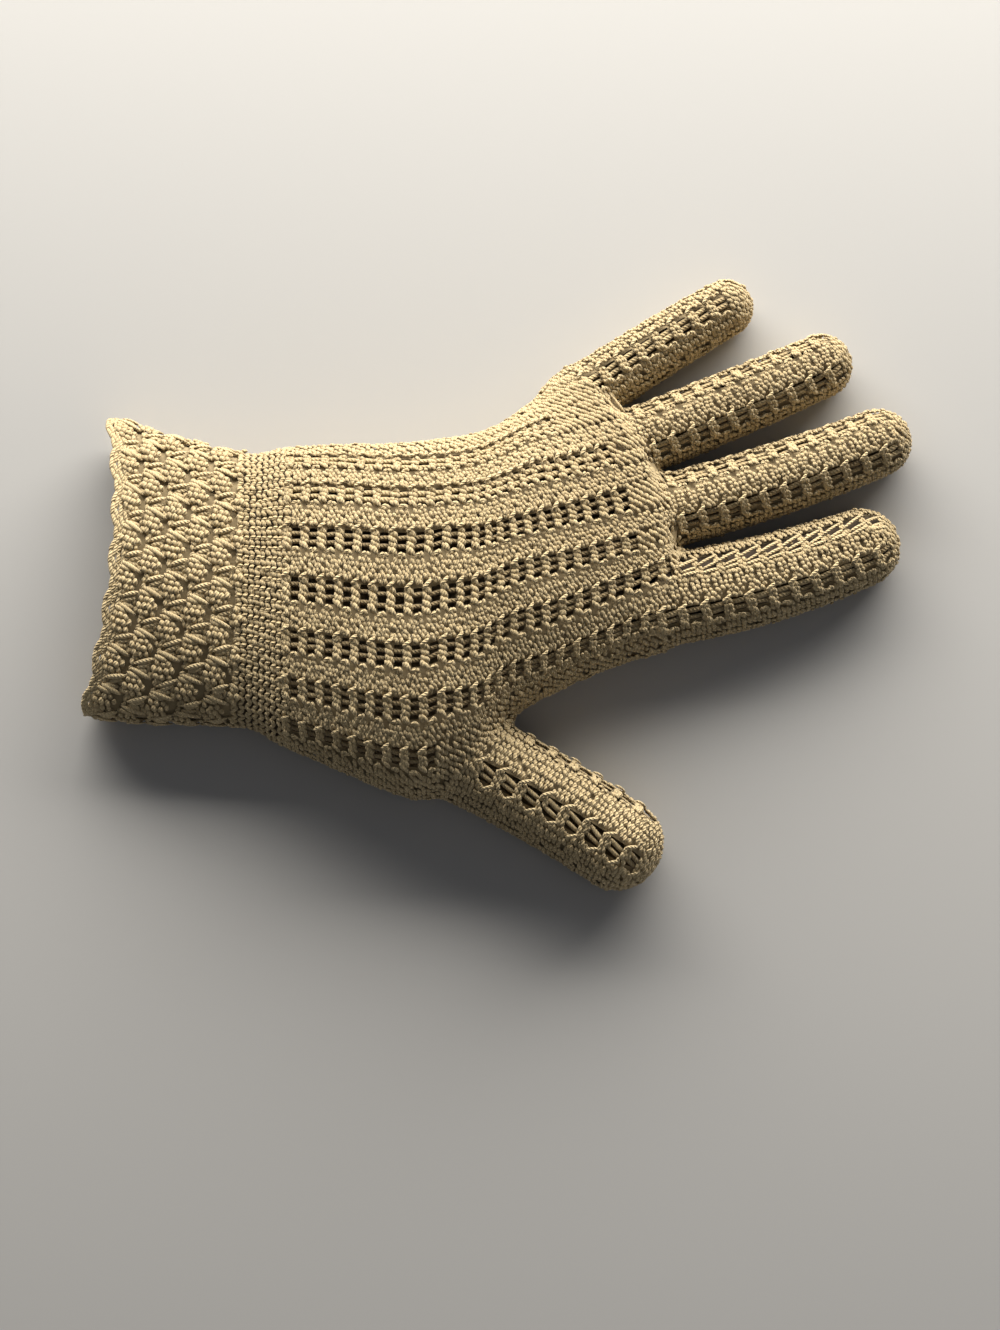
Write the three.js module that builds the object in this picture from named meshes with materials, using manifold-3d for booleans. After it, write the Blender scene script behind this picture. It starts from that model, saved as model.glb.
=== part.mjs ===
// A lady's hand-knitted cotton lace glove for the left hand. It lies palm down with the shape
// of the hand still in it: a flared honeycomb cuff with a corded edge, a plain wrist band, the
// hand with columns of lace eyelets along its back, a thumb, and four fingers. Every piece is a
// hollow knitted wall, and the hollows run into each other from the open cuff to the fingertips.
// Units are millimetres. The tables are in the plan of the glove: x runs from the cuff to the
// fingers, y from the thumb side to the little finger side, and z is up. The whole group is
// then turned so that +X runs along the middle finger, and set over the middle of its box.
import * as THREE from "three";
import { mergeVertices } from "three/addons/utils/BufferGeometryUtils.js";
import Module from "manifold-3d";

const wasm = await Module();
wasm.setup();

// Driving dimensions
const wall = 2.0;
const seamGap = 0.3;
const planTurn = -18.5; // degrees, from the plan to the row frame
const pressedFlat = 1.12; // how far the lower half would reach through the surface it lies on
const widestLevel = 0.42; // height of a section's widest point, as a share of its height
const lowerFullness = 3.0; // exponent of a section's lower half: over 2 is squarer
const cottonColour = 0xd8c08e;

// The sleeve runs from the cuff's mouth to the roots of the fingers. Each row is one section:
// the plan position of its thumb side and little finger side, its height, the exponent of its
// upper half (under 2 is pointed at the sides), and how far its middle bows forward.
const sleeveTable = [
  { thumbX: 4.0, thumbY: -25.0, littleX: 9.6, littleY: 55.0, height: 24, fullness: 1.7, bow: 5.5 },
  { thumbX: 17.6, thumbY: -26.5, littleX: 21.5, littleY: 50.6, height: 25, fullness: 1.85, bow: 4 },
  { thumbX: 42.4, thumbY: -27.6, littleX: 43.6, littleY: 45.0, height: 26, fullness: 2.0, bow: 1 },
  { thumbX: 54.1, thumbY: -33.0, littleX: 54.6, littleY: 46.2, height: 29, fullness: 2.1, bow: 0 },
  { thumbX: 67.6, thumbY: -39.0, littleX: 68.9, littleY: 46.8, height: 32, fullness: 2.1, bow: 0 },
  { thumbX: 80.6, thumbY: -44.8, littleX: 83.2, littleY: 46.8, height: 34, fullness: 2.1, bow: 0 },
  { thumbX: 92.3, thumbY: -47.2, littleX: 94.9, littleY: 48.1, height: 34, fullness: 2.1, bow: 0 },
  { thumbX: 104.0, thumbY: -39.0, littleX: 104.8, littleY: 49.9, height: 33, fullness: 2.1, bow: 0 },
  { thumbX: 113.1, thumbY: -26.2, littleX: 111.3, littleY: 53.0, height: 31, fullness: 2.1, bow: 2 },
  { thumbX: 129.0, thumbY: -16.8, littleX: 118.2, littleY: 58.4, height: 27, fullness: 2.2, bow: 6 },
  { thumbX: 152.0, thumbY: -7.2, littleX: 128.0, littleY: 66.5, height: 22, fullness: 2.3, bow: 10 },
];
const cuffEnd = 2; // row where the honeycomb cuff meets the wrist band
const bandEnd = 3; // row where the wrist band meets the hand
const sleeveEnd = sleeveTable.length - 1;

// The sleeve closes between the fingers in a low rounded end
const sleeveCap = [
  { forward: 2.5, shrink: 0.82 },
  { forward: 4.0, shrink: 0.45 },
];

// Each digit is a tube along a curved axis: where its axis leaves the hand, its tip, how far the
// middle of the axis lies towards the little finger side of the straight line, half its width,
// its height, the share of both that it loses by its tip, the radius of its rounded end, and how
// far its root reaches into the hand.
const digitTable = [
  { name: "thumb", rootX: 105.0, rootY: -37.0, tipX: 150.6, tipY: -65.2, sag: 1.2, halfWidth: 12.5, height: 22, taper: 0.06, tip: 11.0, inside: 17 },
  { name: "index_finger", rootX: 148.2, rootY: 5.4, tipX: 215.0, tipY: 24.6, sag: -2.5, halfWidth: 12.2, height: 19.5, taper: 0.2, tip: 9.6, inside: 14 },
  { name: "middle_finger", rootX: 148.4, rootY: 28.6, tipX: 218.6, tipY: 52.2, sag: -1.5, halfWidth: 9.8, height: 18.5, taper: 0.1, tip: 9.0, inside: 14 },
  { name: "ring_finger", rootX: 141.0, rootY: 46.6, tipX: 203.2, tipY: 73.2, sag: -0.6, halfWidth: 9.2, height: 18, taper: 0.1, tip: 8.4, inside: 12 },
  { name: "little_finger", rootX: 131.0, rootY: 60.4, tipX: 177.0, tipY: 89.4, sag: 0.6, halfWidth: 8.2, height: 16.5, taper: 0.1, tip: 7.4, inside: 8 },
];

// Flats round a sleeve section: each lace column gets a flat of its own, wide enough for its
// eyelets, with a narrower flat between two columns
const laceAngles = [-62, -43, -23, -4, 15, 34, 53];
const laceFlatHalf = 6.2; // degrees to each side of a column
const lowerSteps = 8;
const digitUpperSteps = 9;
const digitLowerSteps = 5;
const rowSteps = 1; // sections made for each row of the sleeve table
const finestEdge = 0.03; // smaller slivers than this are melted away

// Honeycomb cuff: raised pillows in staggered columns round the cuff, and a corded, scalloped edge
const pillowsRound = 18;
const pillowCourses = 8;
const pillowRise = 0.8;
const cordRadius = 1.35;
const cordSteps = 60;
const cordSides = 5;
const scallops = 15;
const scallopDepth = 0.9;

// Lace: eyelets in columns along the back of the hand, and along the thumb and index finger.
// A column's angle is measured round the section from its highest line, to the thumb side.
const eyeletPitch = 6.3;
const eyeletLength = 2.6;
const eyeletSpan = 6.4;
const eyeletDepth = 7;
const handLaceStart = 3.25; // in rows of the sleeve table
const handLaceTable = [
  { angle: -62, count: 8 },
  { angle: -43, count: 11 },
  { angle: -23, count: 13 },
  { angle: -4, count: 14 },
  { angle: 15, count: 14 },
  { angle: 34, count: 12 },
  { angle: 53, count: 7 },
];
const digitLaceTable = [
  { digit: "thumb", angle: 14, first: 0.2, last: 0.86, count: 6 },
  { digit: "index_finger", angle: -38, first: 0.1, last: 0.82, count: 8 },
  { digit: "index_finger", angle: 42, first: 0.06, last: 0.82, count: 8 },
];
const digitEyeletSpan = 5.0;

const radians = THREE.MathUtils.degToRad;
const up = new THREE.Vector3(0, 0, 1);

// A curve through one set of columns of the sleeve table
function tableCurve(x, y, z) {
  const points = sleeveTable.map((row) => new THREE.Vector3(row[x], row[y], row[z]));
  return new THREE.CatmullRomCurve3(points, false, "catmullrom", 0.5);
}

const thumbSide = tableCurve("thumbX", "thumbY", "height");
const littleSide = tableCurve("littleX", "littleY", "fullness");
const bowCurve = tableCurve("bow", "bow", "bow");

// A section of the sleeve at any place between the rows of its table
function sleeveSection(row) {
  const place = THREE.MathUtils.clamp(row / sleeveEnd, 0, 1);
  const low = thumbSide.getPoint(place);
  const high = littleSide.getPoint(place);
  const across = new THREE.Vector3(low.x - high.x, low.y - high.y, 0);
  const halfWidth = across.length() / 2;
  across.normalize();
  return {
    centre: new THREE.Vector3((low.x + high.x) / 2, (low.y + high.y) / 2, 0),
    across,
    forward: new THREE.Vector3().crossVectors(up, across),
    halfWidth,
    bottom: 0,
    top: low.z,
    fullness: high.z,
    bow: bowCurve.getPoint(place).x,
  };
}

// The axis of a digit, from inside the hand to its tip
function digitAxis(digit) {
  const root = new THREE.Vector3(digit.rootX, digit.rootY, 0);
  const tip = new THREE.Vector3(digit.tipX, digit.tipY, 0);
  const along = tip.clone().sub(root);
  const sideways = new THREE.Vector3(-along.y, along.x, 0).normalize();
  const control = root.clone().add(tip).multiplyScalar(0.5).addScaledVector(sideways, 2 * digit.sag);
  return new THREE.QuadraticBezierCurve3(root, control, tip);
}

// A section of a digit at a distance from its root, shrunk round at the tip. grow swells the
// whole digit, or shrinks it if negative.
function digitSection(digit, distance, grow = 0) {
  const axis = digitAxis(digit);
  const length = axis.getLength();
  const share = distance / length;
  const direction = axis.getTangent(Math.max(0, Math.min(1, share)));
  const centre =
    share < 0
      ? axis.getPoint(0).addScaledVector(direction, distance)
      : axis.getPoint(Math.min(1, share));
  if (share > 1) centre.addScaledVector(direction, distance - length);
  const pastRound = Math.max(0, distance - (length - digit.tip)) / (digit.tip + grow);
  const round = Math.sqrt(Math.max(0, 1 - pastRound ** 2));
  const taper = 1 - digit.taper * THREE.MathUtils.clamp(share, 0, 1) ** 2;
  const halfWidth = Math.max(0.05, (digit.halfWidth * taper + grow) * round);
  const halfHeight = Math.max(0.05, ((digit.height * taper) / 2 + grow) * round);
  const middle = (digit.height * taper) / 2;
  return {
    centre,
    across: new THREE.Vector3().crossVectors(direction, up).normalize(),
    forward: direction,
    halfWidth,
    bottom: middle - halfHeight,
    top: middle + halfHeight,
    fullness: 2.1,
    bow: 0,
  };
}

const signedPower = (value, exponent) => Math.sign(value) * Math.abs(value) ** exponent;

// The point of a section at an angle from its highest line, positive towards the thumb side
function sectionPoint(section, angle) {
  const sine = Math.sin(angle);
  const cosine = Math.cos(angle);
  const exponent = 2 / (cosine >= 0 ? section.fullness : lowerFullness);
  const level = section.bottom + widestLevel * (section.top - section.bottom);
  const reach = cosine >= 0 ? section.top - level : (level - section.bottom) * pressedFlat;
  const lateral = signedPower(sine, exponent);
  const z = Math.max(section.bottom, level + reach * signedPower(cosine, exponent));
  return section.centre
    .clone()
    .addScaledVector(section.across, section.halfWidth * lateral)
    .addScaledVector(section.forward, section.bow * (1 - lateral ** 2))
    .setZ(z);
}

// Even angles from one to another, without the last
const anglesFrom = (first, last, steps) =>
  Array.from({ length: steps }, (_, i) => radians(first + ((last - first) * i) / steps));

// The angles round a section of the sleeve and of a digit, closer on the upper half, which shows
const sleeveAngles = [
  ...anglesFrom(-90, -68.2, 2).slice(0, 2),
  ...laceAngles.flatMap((angle) => [radians(angle - laceFlatHalf), radians(angle + laceFlatHalf)]),
  radians(75),
  ...anglesFrom(90, 270, lowerSteps),
];
const digitAngles = [
  ...anglesFrom(-90, 90, digitUpperSteps),
  ...anglesFrom(90, 270, digitLowerSteps),
];
const hollowAngles = [...anglesFrom(-90, 90, 7), ...anglesFrom(90, 270, 4)];

const ringOf = (section, angles) => angles.map((angle) => sectionPoint(section, angle));

// A section grown outwards, or inwards if the distance is negative
function grown(section, distance) {
  return {
    ...section,
    halfWidth: section.halfWidth + distance,
    bottom: section.bottom - distance,
    top: section.top + distance,
  };
}

// A closed solid through rings of points, with a fan over each end. A closed loop of rings
// has no ends.
function loft(rings, looped = false) {
  const sides = rings[0].length;
  const positions = rings.flat().flatMap((point) => [point.x, point.y, point.z]);
  const index = [];
  const bands = looped ? rings.length : rings.length - 1;
  for (let r = 0; r < bands; r++) {
    const next = ((r + 1) % rings.length) * sides;
    for (let s = 0; s < sides; s++) {
      const a = r * sides + s;
      const b = r * sides + ((s + 1) % sides);
      const c = next + ((s + 1) % sides);
      const d = next + s;
      index.push(a, b, c, a, c, d);
    }
  }
  if (!looped) {
    for (const [ring, flip] of [[0, false], [rings.length - 1, true]]) {
      const middle = rings[ring]
        .reduce((sum, point) => sum.add(point), new THREE.Vector3())
        .divideScalar(sides);
      const hub = positions.length / 3;
      positions.push(middle.x, middle.y, middle.z);
      for (let s = 0; s < sides; s++) {
        const a = ring * sides + s;
        const b = ring * sides + ((s + 1) % sides);
        index.push(...(flip ? [hub, a, b] : [hub, b, a]));
      }
    }
  }
  const geometry = new THREE.BufferGeometry();
  geometry.setAttribute("position", new THREE.Float32BufferAttribute(positions, 3));
  geometry.setIndex(index);
  return solidOf(geometry);
}

// A manifold solid of a closed geometry, turned right way out
function solidOf(geometry) {
  const bare = new THREE.BufferGeometry();
  bare.setAttribute("position", geometry.getAttribute("position"));
  bare.setIndex(geometry.index);
  const merged = mergeVertices(bare, 1e-4);
  const vertProperties = merged.attributes.position.array;
  const triVerts = new Uint32Array(merged.index.array);
  const solid = new wasm.Manifold(new wasm.Mesh({ numProp: 3, vertProperties, triVerts }));
  if (solid.volume() > 0) return solid;
  for (let i = 0; i < triVerts.length; i += 3) {
    [triVerts[i + 1], triVerts[i + 2]] = [triVerts[i + 2], triVerts[i + 1]];
  }
  return new wasm.Manifold(new wasm.Mesh({ numProp: 3, vertProperties, triVerts }));
}

// What is left of a solid when all the cutters are taken from it at once
const without = (solid, cutters) => solid.subtract(wasm.Manifold.union(cutters));

// The main body of a cut solid, without the loose chips
function largestBody(solid) {
  const bodies = solid.decompose();
  return bodies.reduce((most, body) => (body.volume() > most.volume() ? body : most));
}

// The rows at which a stretch of the sleeve has its sections
function rowsBetween(first, last, perRow = rowSteps) {
  const steps = Math.round((last - first) * perRow);
  return Array.from({ length: steps + 1 }, (_, i) => first + ((last - first) * i) / steps);
}

// The rings of the sleeve from one row to another, grown by a distance
function sleeveRings(first, last, distance) {
  return rowsBetween(first, last).map((row) =>
    ringOf(grown(sleeveSection(row), distance), sleeveAngles),
  );
}

// The rounded end of the sleeve between the fingers
function capRings(distance) {
  return sleeveCap.map(({ forward, shrink }) => {
    const section = grown(sleeveSection(sleeveEnd), distance);
    const middle = (section.top + section.bottom) / 2;
    const halfHeight = ((section.top - section.bottom) / 2) * shrink;
    section.centre = section.centre.clone().addScaledVector(section.forward, forward + distance);
    section.bottom = middle - halfHeight;
    section.top = middle + halfHeight;
    section.halfWidth *= 0.9 + 0.1 * shrink;
    return ringOf(section, sleeveAngles);
  });
}

// A solid of one digit, grown by a distance, from a place inside the hand to its tip
function digitSolid(digit, distance, angles = digitAngles) {
  const straight = digitAxis(digit).getLength() - digit.tip;
  const reach = digit.tip + distance;
  const places = [-digit.inside, 0, straight / 3, (2 * straight) / 3, straight];
  for (const angle of [32, 57, 78]) places.push(straight + reach * Math.sin(radians(angle)));
  return loft(places.map((place) => ringOf(digitSection(digit, place, distance), angles)));
}

// A cutter through the wall at a point, along the tangent and across it
function eyeletCutter(point, along, around, span) {
  const tangent = along.clone().normalize();
  const normal = new THREE.Vector3().crossVectors(tangent, around).normalize();
  const side = new THREE.Vector3().crossVectors(normal, tangent);
  const box = new THREE.BoxGeometry(eyeletLength, span, eyeletDepth);
  box.applyMatrix4(new THREE.Matrix4().makeBasis(tangent, side, normal).setPosition(point));
  return solidOf(box);
}

// The cutters of one lace column, given its point at any place and its angle
function laceCutters(pointAt, places, angle, placeStep, span) {
  const step = radians(3);
  return places.map((place) => {
    const along = pointAt(place + placeStep, angle).sub(pointAt(place - placeStep, angle));
    const around = pointAt(place, angle + step).sub(pointAt(place, angle - step));
    return eyeletCutter(pointAt(place, angle), along, around, span);
  });
}

const sleevePoint = (row, angle) => sectionPoint(sleeveSection(row), angle);

// Rows of the sleeve table at even distances along one of its lines
function evenRows(angle, count) {
  const rows = [];
  let row = handLaceStart;
  for (let i = 0; i < count; i++) {
    rows.push(row);
    const rate = sleevePoint(row + 0.05, angle).distanceTo(sleevePoint(row, angle)) / 0.05;
    row += eyeletPitch / rate;
  }
  return rows;
}

// A mesh of a finished solid, in the colour of the cotton
function cottonMesh(name, solid) {
  const { vertProperties, triVerts } = solid.simplify(finestEdge).getMesh();
  const geometry = new THREE.BufferGeometry();
  geometry.setAttribute("position", new THREE.BufferAttribute(new Float32Array(vertProperties), 3));
  geometry.setIndex(new THREE.BufferAttribute(new Uint32Array(triVerts), 1));
  const material = new THREE.MeshStandardMaterial({ color: cottonColour, roughness: 0.9, metalness: 0 });
  const mesh = new THREE.Mesh(geometry.toNonIndexed(), material);
  mesh.geometry.computeVertexNormals();
  mesh.name = name;
  return mesh;
}

// The corded edge round the cuff's mouth, scalloped and beaded like a cast-on edge
function makeCuffEdge() {
  const section = grown(sleeveSection(0), -wall / 2);
  const back = section.forward.clone().negate();
  const rings = [];
  for (let i = 0; i < cordSteps; i++) {
    const angle = (2 * Math.PI * i) / cordSteps;
    const point = sectionPoint(section, angle);
    const away = point.clone().sub(section.centre).setZ(point.z - section.top / 2).normalize();
    const wave = Math.cos(scallops * angle);
    const radius = cordRadius * (1 + 0.12 * wave);
    const middle = point.addScaledVector(back, cordRadius + seamGap + scallopDepth * (1 + wave) / 2);
    middle.z = Math.max(cordRadius * 1.15, middle.z);
    const ring = [];
    for (let s = 0; s < cordSides; s++) {
      const turn = (2 * Math.PI * s) / cordSides;
      ring.push(
        middle
          .clone()
          .addScaledVector(away, radius * Math.cos(turn))
          .addScaledVector(back, radius * Math.sin(turn)),
      );
    }
    rings.push(ring);
  }
  return loft(rings, true);
}

// The honeycomb cuff: its outer face rises in staggered pillows, which die out at its ends
function makeCuff(hollow) {
  const first = 0.03;
  const last = cuffEnd - 0.01;
  const rings = [];
  for (let course = 0; course <= pillowCourses; course++) {
    const row = first + ((last - first) * course) / pillowCourses;
    const section = sleeveSection(row);
    const atEnd = course === 0 || course === pillowCourses;
    const ring = [];
    for (let i = 0; i < 2 * pillowsRound; i++) {
      const angle = (Math.PI * (i + 0.5)) / pillowsRound;
      const raised = !atEnd && (i + course) % 2 === 0;
      const onTop = Math.cos(angle) > -0.2;
      ring.push(sectionPoint(raised && onTop ? grown(section, pillowRise) : section, angle));
    }
    rings.push(ring);
  }
  return loft(rings).subtract(hollow);
}

const digitsByName = new Map(digitTable.map((digit) => [digit.name, digit]));
const mouthSection = grown(sleeveSection(0), -wall);
const beforeMouth = {
  ...mouthSection,
  centre: mouthSection.centre.clone().addScaledVector(mouthSection.forward, -5),
};
const sleeveHollow = loft([
  ringOf(beforeMouth, sleeveAngles),
  ...sleeveRings(0, sleeveEnd, -wall),
  ...capRings(-wall),
]);
const digitHollows = new Map(
  digitTable.map((digit) => [digit.name, digitSolid(digit, -wall, hollowAngles)]),
);

// The plain knitted band round the wrist
function makeWristBand() {
  const first = cuffEnd + 0.01;
  const last = bandEnd - 0.01;
  return loft(sleeveRings(first, last, 0)).subtract(sleeveHollow);
}

// The hand, open to the wrist, the thumb and each finger, with lace down its back
function makeHand() {
  const first = bandEnd + 0.01;
  const solid = loft([...sleeveRings(first, sleeveEnd, 0), ...capRings(0)]);
  const eyelets = handLaceTable.flatMap((column) => {
    const rows = evenRows(radians(column.angle), column.count);
    return laceCutters(sleevePoint, rows, radians(column.angle), 0.05, eyeletSpan);
  });
  return without(solid, [sleeveHollow, ...digitHollows.values(), ...eyelets]);
}

// One digit, open into the hand, with its lace
function makeDigit(digit, neighbours) {
  const length = digitAxis(digit).getLength();
  const pointAt = (distance, angle) => sectionPoint(digitSection(digit, distance), angle);
  const columns = digitLaceTable.filter((row) => row.digit === digit.name);
  const eyelets = columns.flatMap((column) => {
    const places = Array.from(
      { length: column.count },
      (_, i) => length * (column.first + ((column.last - column.first) * i) / (column.count - 1)),
    );
    return laceCutters(pointAt, places, radians(column.angle), 0.5, digitEyeletSpan);
  });
  const clearances = neighbours.map((other) => digitSolid(other, seamGap));
  const whole = without(digitSolid(digit, 0), [
    digitHollows.get(digit.name),
    handClearance,
    ...clearances,
    ...eyelets,
  ]);
  return largestBody(whole);
}

const handClearance = loft([
  ...sleeveRings(bandEnd, sleeveEnd, seamGap),
  ...capRings(seamGap),
]);

const plan = new THREE.Group();
plan.add(cottonMesh("cuff_edge", makeCuffEdge()));
plan.add(cottonMesh("cuff", makeCuff(sleeveHollow)));
plan.add(cottonMesh("wrist_band", makeWristBand()));
plan.add(cottonMesh("hand", makeHand()));
digitTable.forEach((digit, i) => {
  const before = digit.name === "thumb" ? [] : digitTable.slice(1, i);
  plan.add(cottonMesh(digit.name, makeDigit(digitsByName.get(digit.name), before)));
});
plan.rotation.z = radians(planTurn);

// The origin is on the surface that the glove lies on, under the middle of its box
const glove = new THREE.Group();
glove.add(plan);
glove.updateMatrixWorld(true);
const box = new THREE.Box3().setFromObject(plan, true);
plan.position.set(-(box.min.x + box.max.x) / 2, -(box.min.y + box.max.y) / 2, -box.min.z);

export default glove;
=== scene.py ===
"""A hand-knitted cotton lace glove for the left hand, lying palm down.

The yarn is laid stroke by stroke. A chart gives the strokes of each knitted pattern, the form of
the glove says where a place in the chart lies, and Geometry Nodes turn every stroke into a plied
length of yarn. Tables are in millimetres in the plan of the glove: x from the cuff to the fingers,
y from the thumb side to the little finger side, z up. Meshes are in the row frame, in metres.
"""

import logging
import math
from collections.abc import Callable, Sequence
from dataclasses import dataclass, field, replace
from enum import Enum, IntEnum

import bpy
import numpy as np
from mathutils import Matrix, Vector
from mathutils.kdtree import KDTree


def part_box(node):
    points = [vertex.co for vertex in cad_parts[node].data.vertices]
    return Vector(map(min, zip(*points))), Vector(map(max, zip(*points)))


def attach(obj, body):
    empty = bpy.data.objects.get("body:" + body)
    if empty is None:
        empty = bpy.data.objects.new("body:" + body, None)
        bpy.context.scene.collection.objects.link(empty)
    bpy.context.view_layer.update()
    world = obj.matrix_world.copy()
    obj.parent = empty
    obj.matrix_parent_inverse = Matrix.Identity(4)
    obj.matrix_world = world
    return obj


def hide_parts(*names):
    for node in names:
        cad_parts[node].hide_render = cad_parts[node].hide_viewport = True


log = logging.getLogger("glove")
Socket = bpy.types.NodeSocket
Array = np.ndarray
Triple = tuple[float, float, float]

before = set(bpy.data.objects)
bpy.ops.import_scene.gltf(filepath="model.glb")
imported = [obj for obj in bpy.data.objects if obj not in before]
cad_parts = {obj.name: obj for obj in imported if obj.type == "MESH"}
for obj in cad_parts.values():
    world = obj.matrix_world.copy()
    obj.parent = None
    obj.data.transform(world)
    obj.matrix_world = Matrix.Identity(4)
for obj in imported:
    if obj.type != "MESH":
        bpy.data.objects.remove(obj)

MM = 0.001
PLAN_TURN = math.radians(-18.5)

# Heights over the form's skin: the yarn, its ground, the underside and the inner face
YARN_LEVEL = -0.62
GROUND_LEVEL = -1.45
SOLE_LEVEL = -0.45
INNER_LEVEL = -2.1
# How light the ground is painted behind solid knitting, and where it lies in shade: its darkness
# is painted shade between the strokes
GROUND_PAINTED_LIGHTNESS = 0.45
SHADED_PAINTED_LIGHTNESS = -0.2
# How softly the digits flow into the hand
BLEND = 5.0
# How far round each side the strokes and their ground reach, and where the underside starts
SIDE_ANGLE = math.radians(138)
GROUND_SIDE = math.radians(142)
SOLE_SIDE = math.radians(126)
# Millimetres to a table row beyond either end of the sleeve
ROW_BEYOND = 14.0


class Kind(IntEnum):
    """The shape of a stroke of yarn."""

    OVAL = 0
    STRAND = 1
    RUNG = 2


class Slot(Enum):
    """A material slot name, which no piece here is given."""

    KNIT = "cotton_knit"


class Behind(Enum):
    """What lies behind the openings of a lace row."""

    OPEN = "open"
    # SHADED closes the openings with a ground painted dark: painted shade in place of the glove's
    # inside seen through them.
    SHADED = "shaded"
    PLAIN = "plain"


# The form of the glove


@dataclass(frozen=True)
class SleeveRow:
    """One section of the sleeve, from the cuff's mouth to the roots of the fingers."""

    thumb_x: float
    thumb_y: float
    little_x: float
    little_y: float
    height: float
    fullness: float
    bow: float


SLEEVE_TABLE = (
    SleeveRow(4.0, -25.0, 9.6, 55.0, 24, 1.7, 5.5),
    SleeveRow(17.6, -26.5, 21.5, 50.6, 25, 1.85, 4),
    SleeveRow(42.4, -27.6, 43.6, 45.0, 26, 2.0, 1),
    SleeveRow(54.1, -33.0, 54.6, 46.2, 29, 2.1, 0),
    SleeveRow(67.6, -39.0, 68.9, 46.8, 32, 2.1, 0),
    SleeveRow(80.6, -44.8, 83.2, 46.8, 34, 2.1, 0),
    SleeveRow(92.3, -47.2, 94.9, 48.1, 34, 2.1, 0),
    SleeveRow(104.0, -39.0, 104.8, 49.9, 33, 2.1, 0),
    SleeveRow(113.1, -26.2, 111.3, 53.0, 31, 2.1, 2),
    SleeveRow(129.0, -16.8, 118.2, 58.4, 27, 2.2, 6),
    SleeveRow(152.0, -7.2, 128.0, 66.5, 22, 2.3, 10),
)
# The table rows at which the cuff and the wrist band end
CUFF_END = 2.0
BAND_END = 3.0


@dataclass(frozen=True)
class DigitRow:
    """One digit: its axis from the root to the tip, and the size of its tube."""

    name: str
    root: tuple[float, float]
    tip: tuple[float, float]
    sag: float
    half_width: float
    height: float
    taper: float
    tip_radius: float


DIGIT_TABLE = (
    DigitRow("thumb", (105.0, -37.0), (150.6, -65.2), 1.2, 12.5, 22, 0.06, 11.0),
    DigitRow("index_finger", (148.2, 5.4), (215.0, 24.6), -2.5, 12.2, 19.5, 0.2, 9.6),
    DigitRow("middle_finger", (148.4, 28.6), (218.6, 52.2), -1.5, 9.8, 18.5, 0.1, 9.0),
    DigitRow("ring_finger", (141.0, 46.6), (203.2, 73.2), -0.6, 9.2, 18, 0.1, 8.4),
    DigitRow("little_finger", (131.0, 60.4), (177.0, 89.4), 0.6, 8.2, 16.5, 0.1, 7.4),
)

# Of every section: how square its lower half is, how high its widest line lies, and how much
# the lower half is pressed flat
LOWER_FULLNESS = 3.0
WIDEST_LEVEL = 0.42
PRESSED_FLAT = 1.12


def catmull(table: Array, at: Array) -> Array:
    """A uniform Catmull-Rom curve through the rows of a table.

    Args:
        table: One row of values for each whole number.
        at: Places along the table, in rows.

    Returns:
        The values at each place, on a new last axis.
    """
    last = len(table) - 1
    padded = np.vstack([2 * table[0] - table[1], table, 2 * table[-1] - table[-2]])
    at = np.clip(at, 0, last)
    i = np.minimum(at.astype(int), last - 1)
    t = (at - i)[..., None]
    p0, p1, p2, p3 = (padded[i + k] for k in range(4))
    m1, m2 = 0.5 * (p2 - p0), 0.5 * (p3 - p1)
    return (
        (2 * t**3 - 3 * t**2 + 1) * p1
        + (t**3 - 2 * t**2 + t) * m1
        + (-2 * t**3 + 3 * t**2) * p2
        + (t**3 - t**2) * m2
    )


def unit(vectors: Array) -> Array:
    """Vectors scaled to length one."""
    return vectors / np.maximum(np.linalg.norm(vectors, axis=-1, keepdims=True), 1e-9)


def signed_power(value: Array, exponent: Array | float) -> Array:
    """A power that keeps the sign of its value."""
    return np.sign(value) * np.abs(value) ** exponent


@dataclass
class Sections:
    """Cross-sections of a tube, as arrays of one shape."""

    centre: Array
    across: Array
    forward: Array
    half: Array
    bottom: Array
    top: Array
    fullness: Array
    bow: Array

    def point(self, angle: Array) -> Array:
        """The point of each section at an angle from its highest line, to the thumb side.

        Args:
            angle: The angles, in radians.

        Returns:
            The points, on a new last axis.
        """
        sine, cosine = np.sin(angle), np.cos(angle)
        upper = cosine >= 0
        exponent = 2 / np.where(upper, self.fullness, LOWER_FULLNESS)
        level = self.bottom + WIDEST_LEVEL * (self.top - self.bottom)
        reach = np.where(upper, self.top - level, (level - self.bottom) * PRESSED_FLAT)
        lateral = signed_power(sine, exponent)
        z = np.maximum(self.bottom, level + reach * signed_power(cosine, exponent))
        plan = (
            self.centre
            + self.across * (self.half * lateral)[..., None]
            + self.forward * (self.bow * (1 - lateral**2))[..., None]
        )
        return np.concatenate([plan, z[..., None]], axis=-1)

    def share(self, q: Array, z: Array) -> Array:
        """How far out a point lies: 1 on the surface of its section, less inside.

        Args:
            q: How far across each point is, 1 at the section's side.
            z: Its height.

        Returns:
            The share of each point.
        """
        level = self.bottom + WIDEST_LEVEL * (self.top - self.bottom)
        upper = z >= level
        exponent = np.where(upper, self.fullness, LOWER_FULLNESS)
        reach = np.where(upper, self.top - level, (level - self.bottom) * PRESSED_FLAT)
        return (
            np.abs(q) ** exponent + (np.abs(z - level) / np.maximum(reach, 0.1)) ** exponent
        ) ** (1 / exponent)


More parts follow.
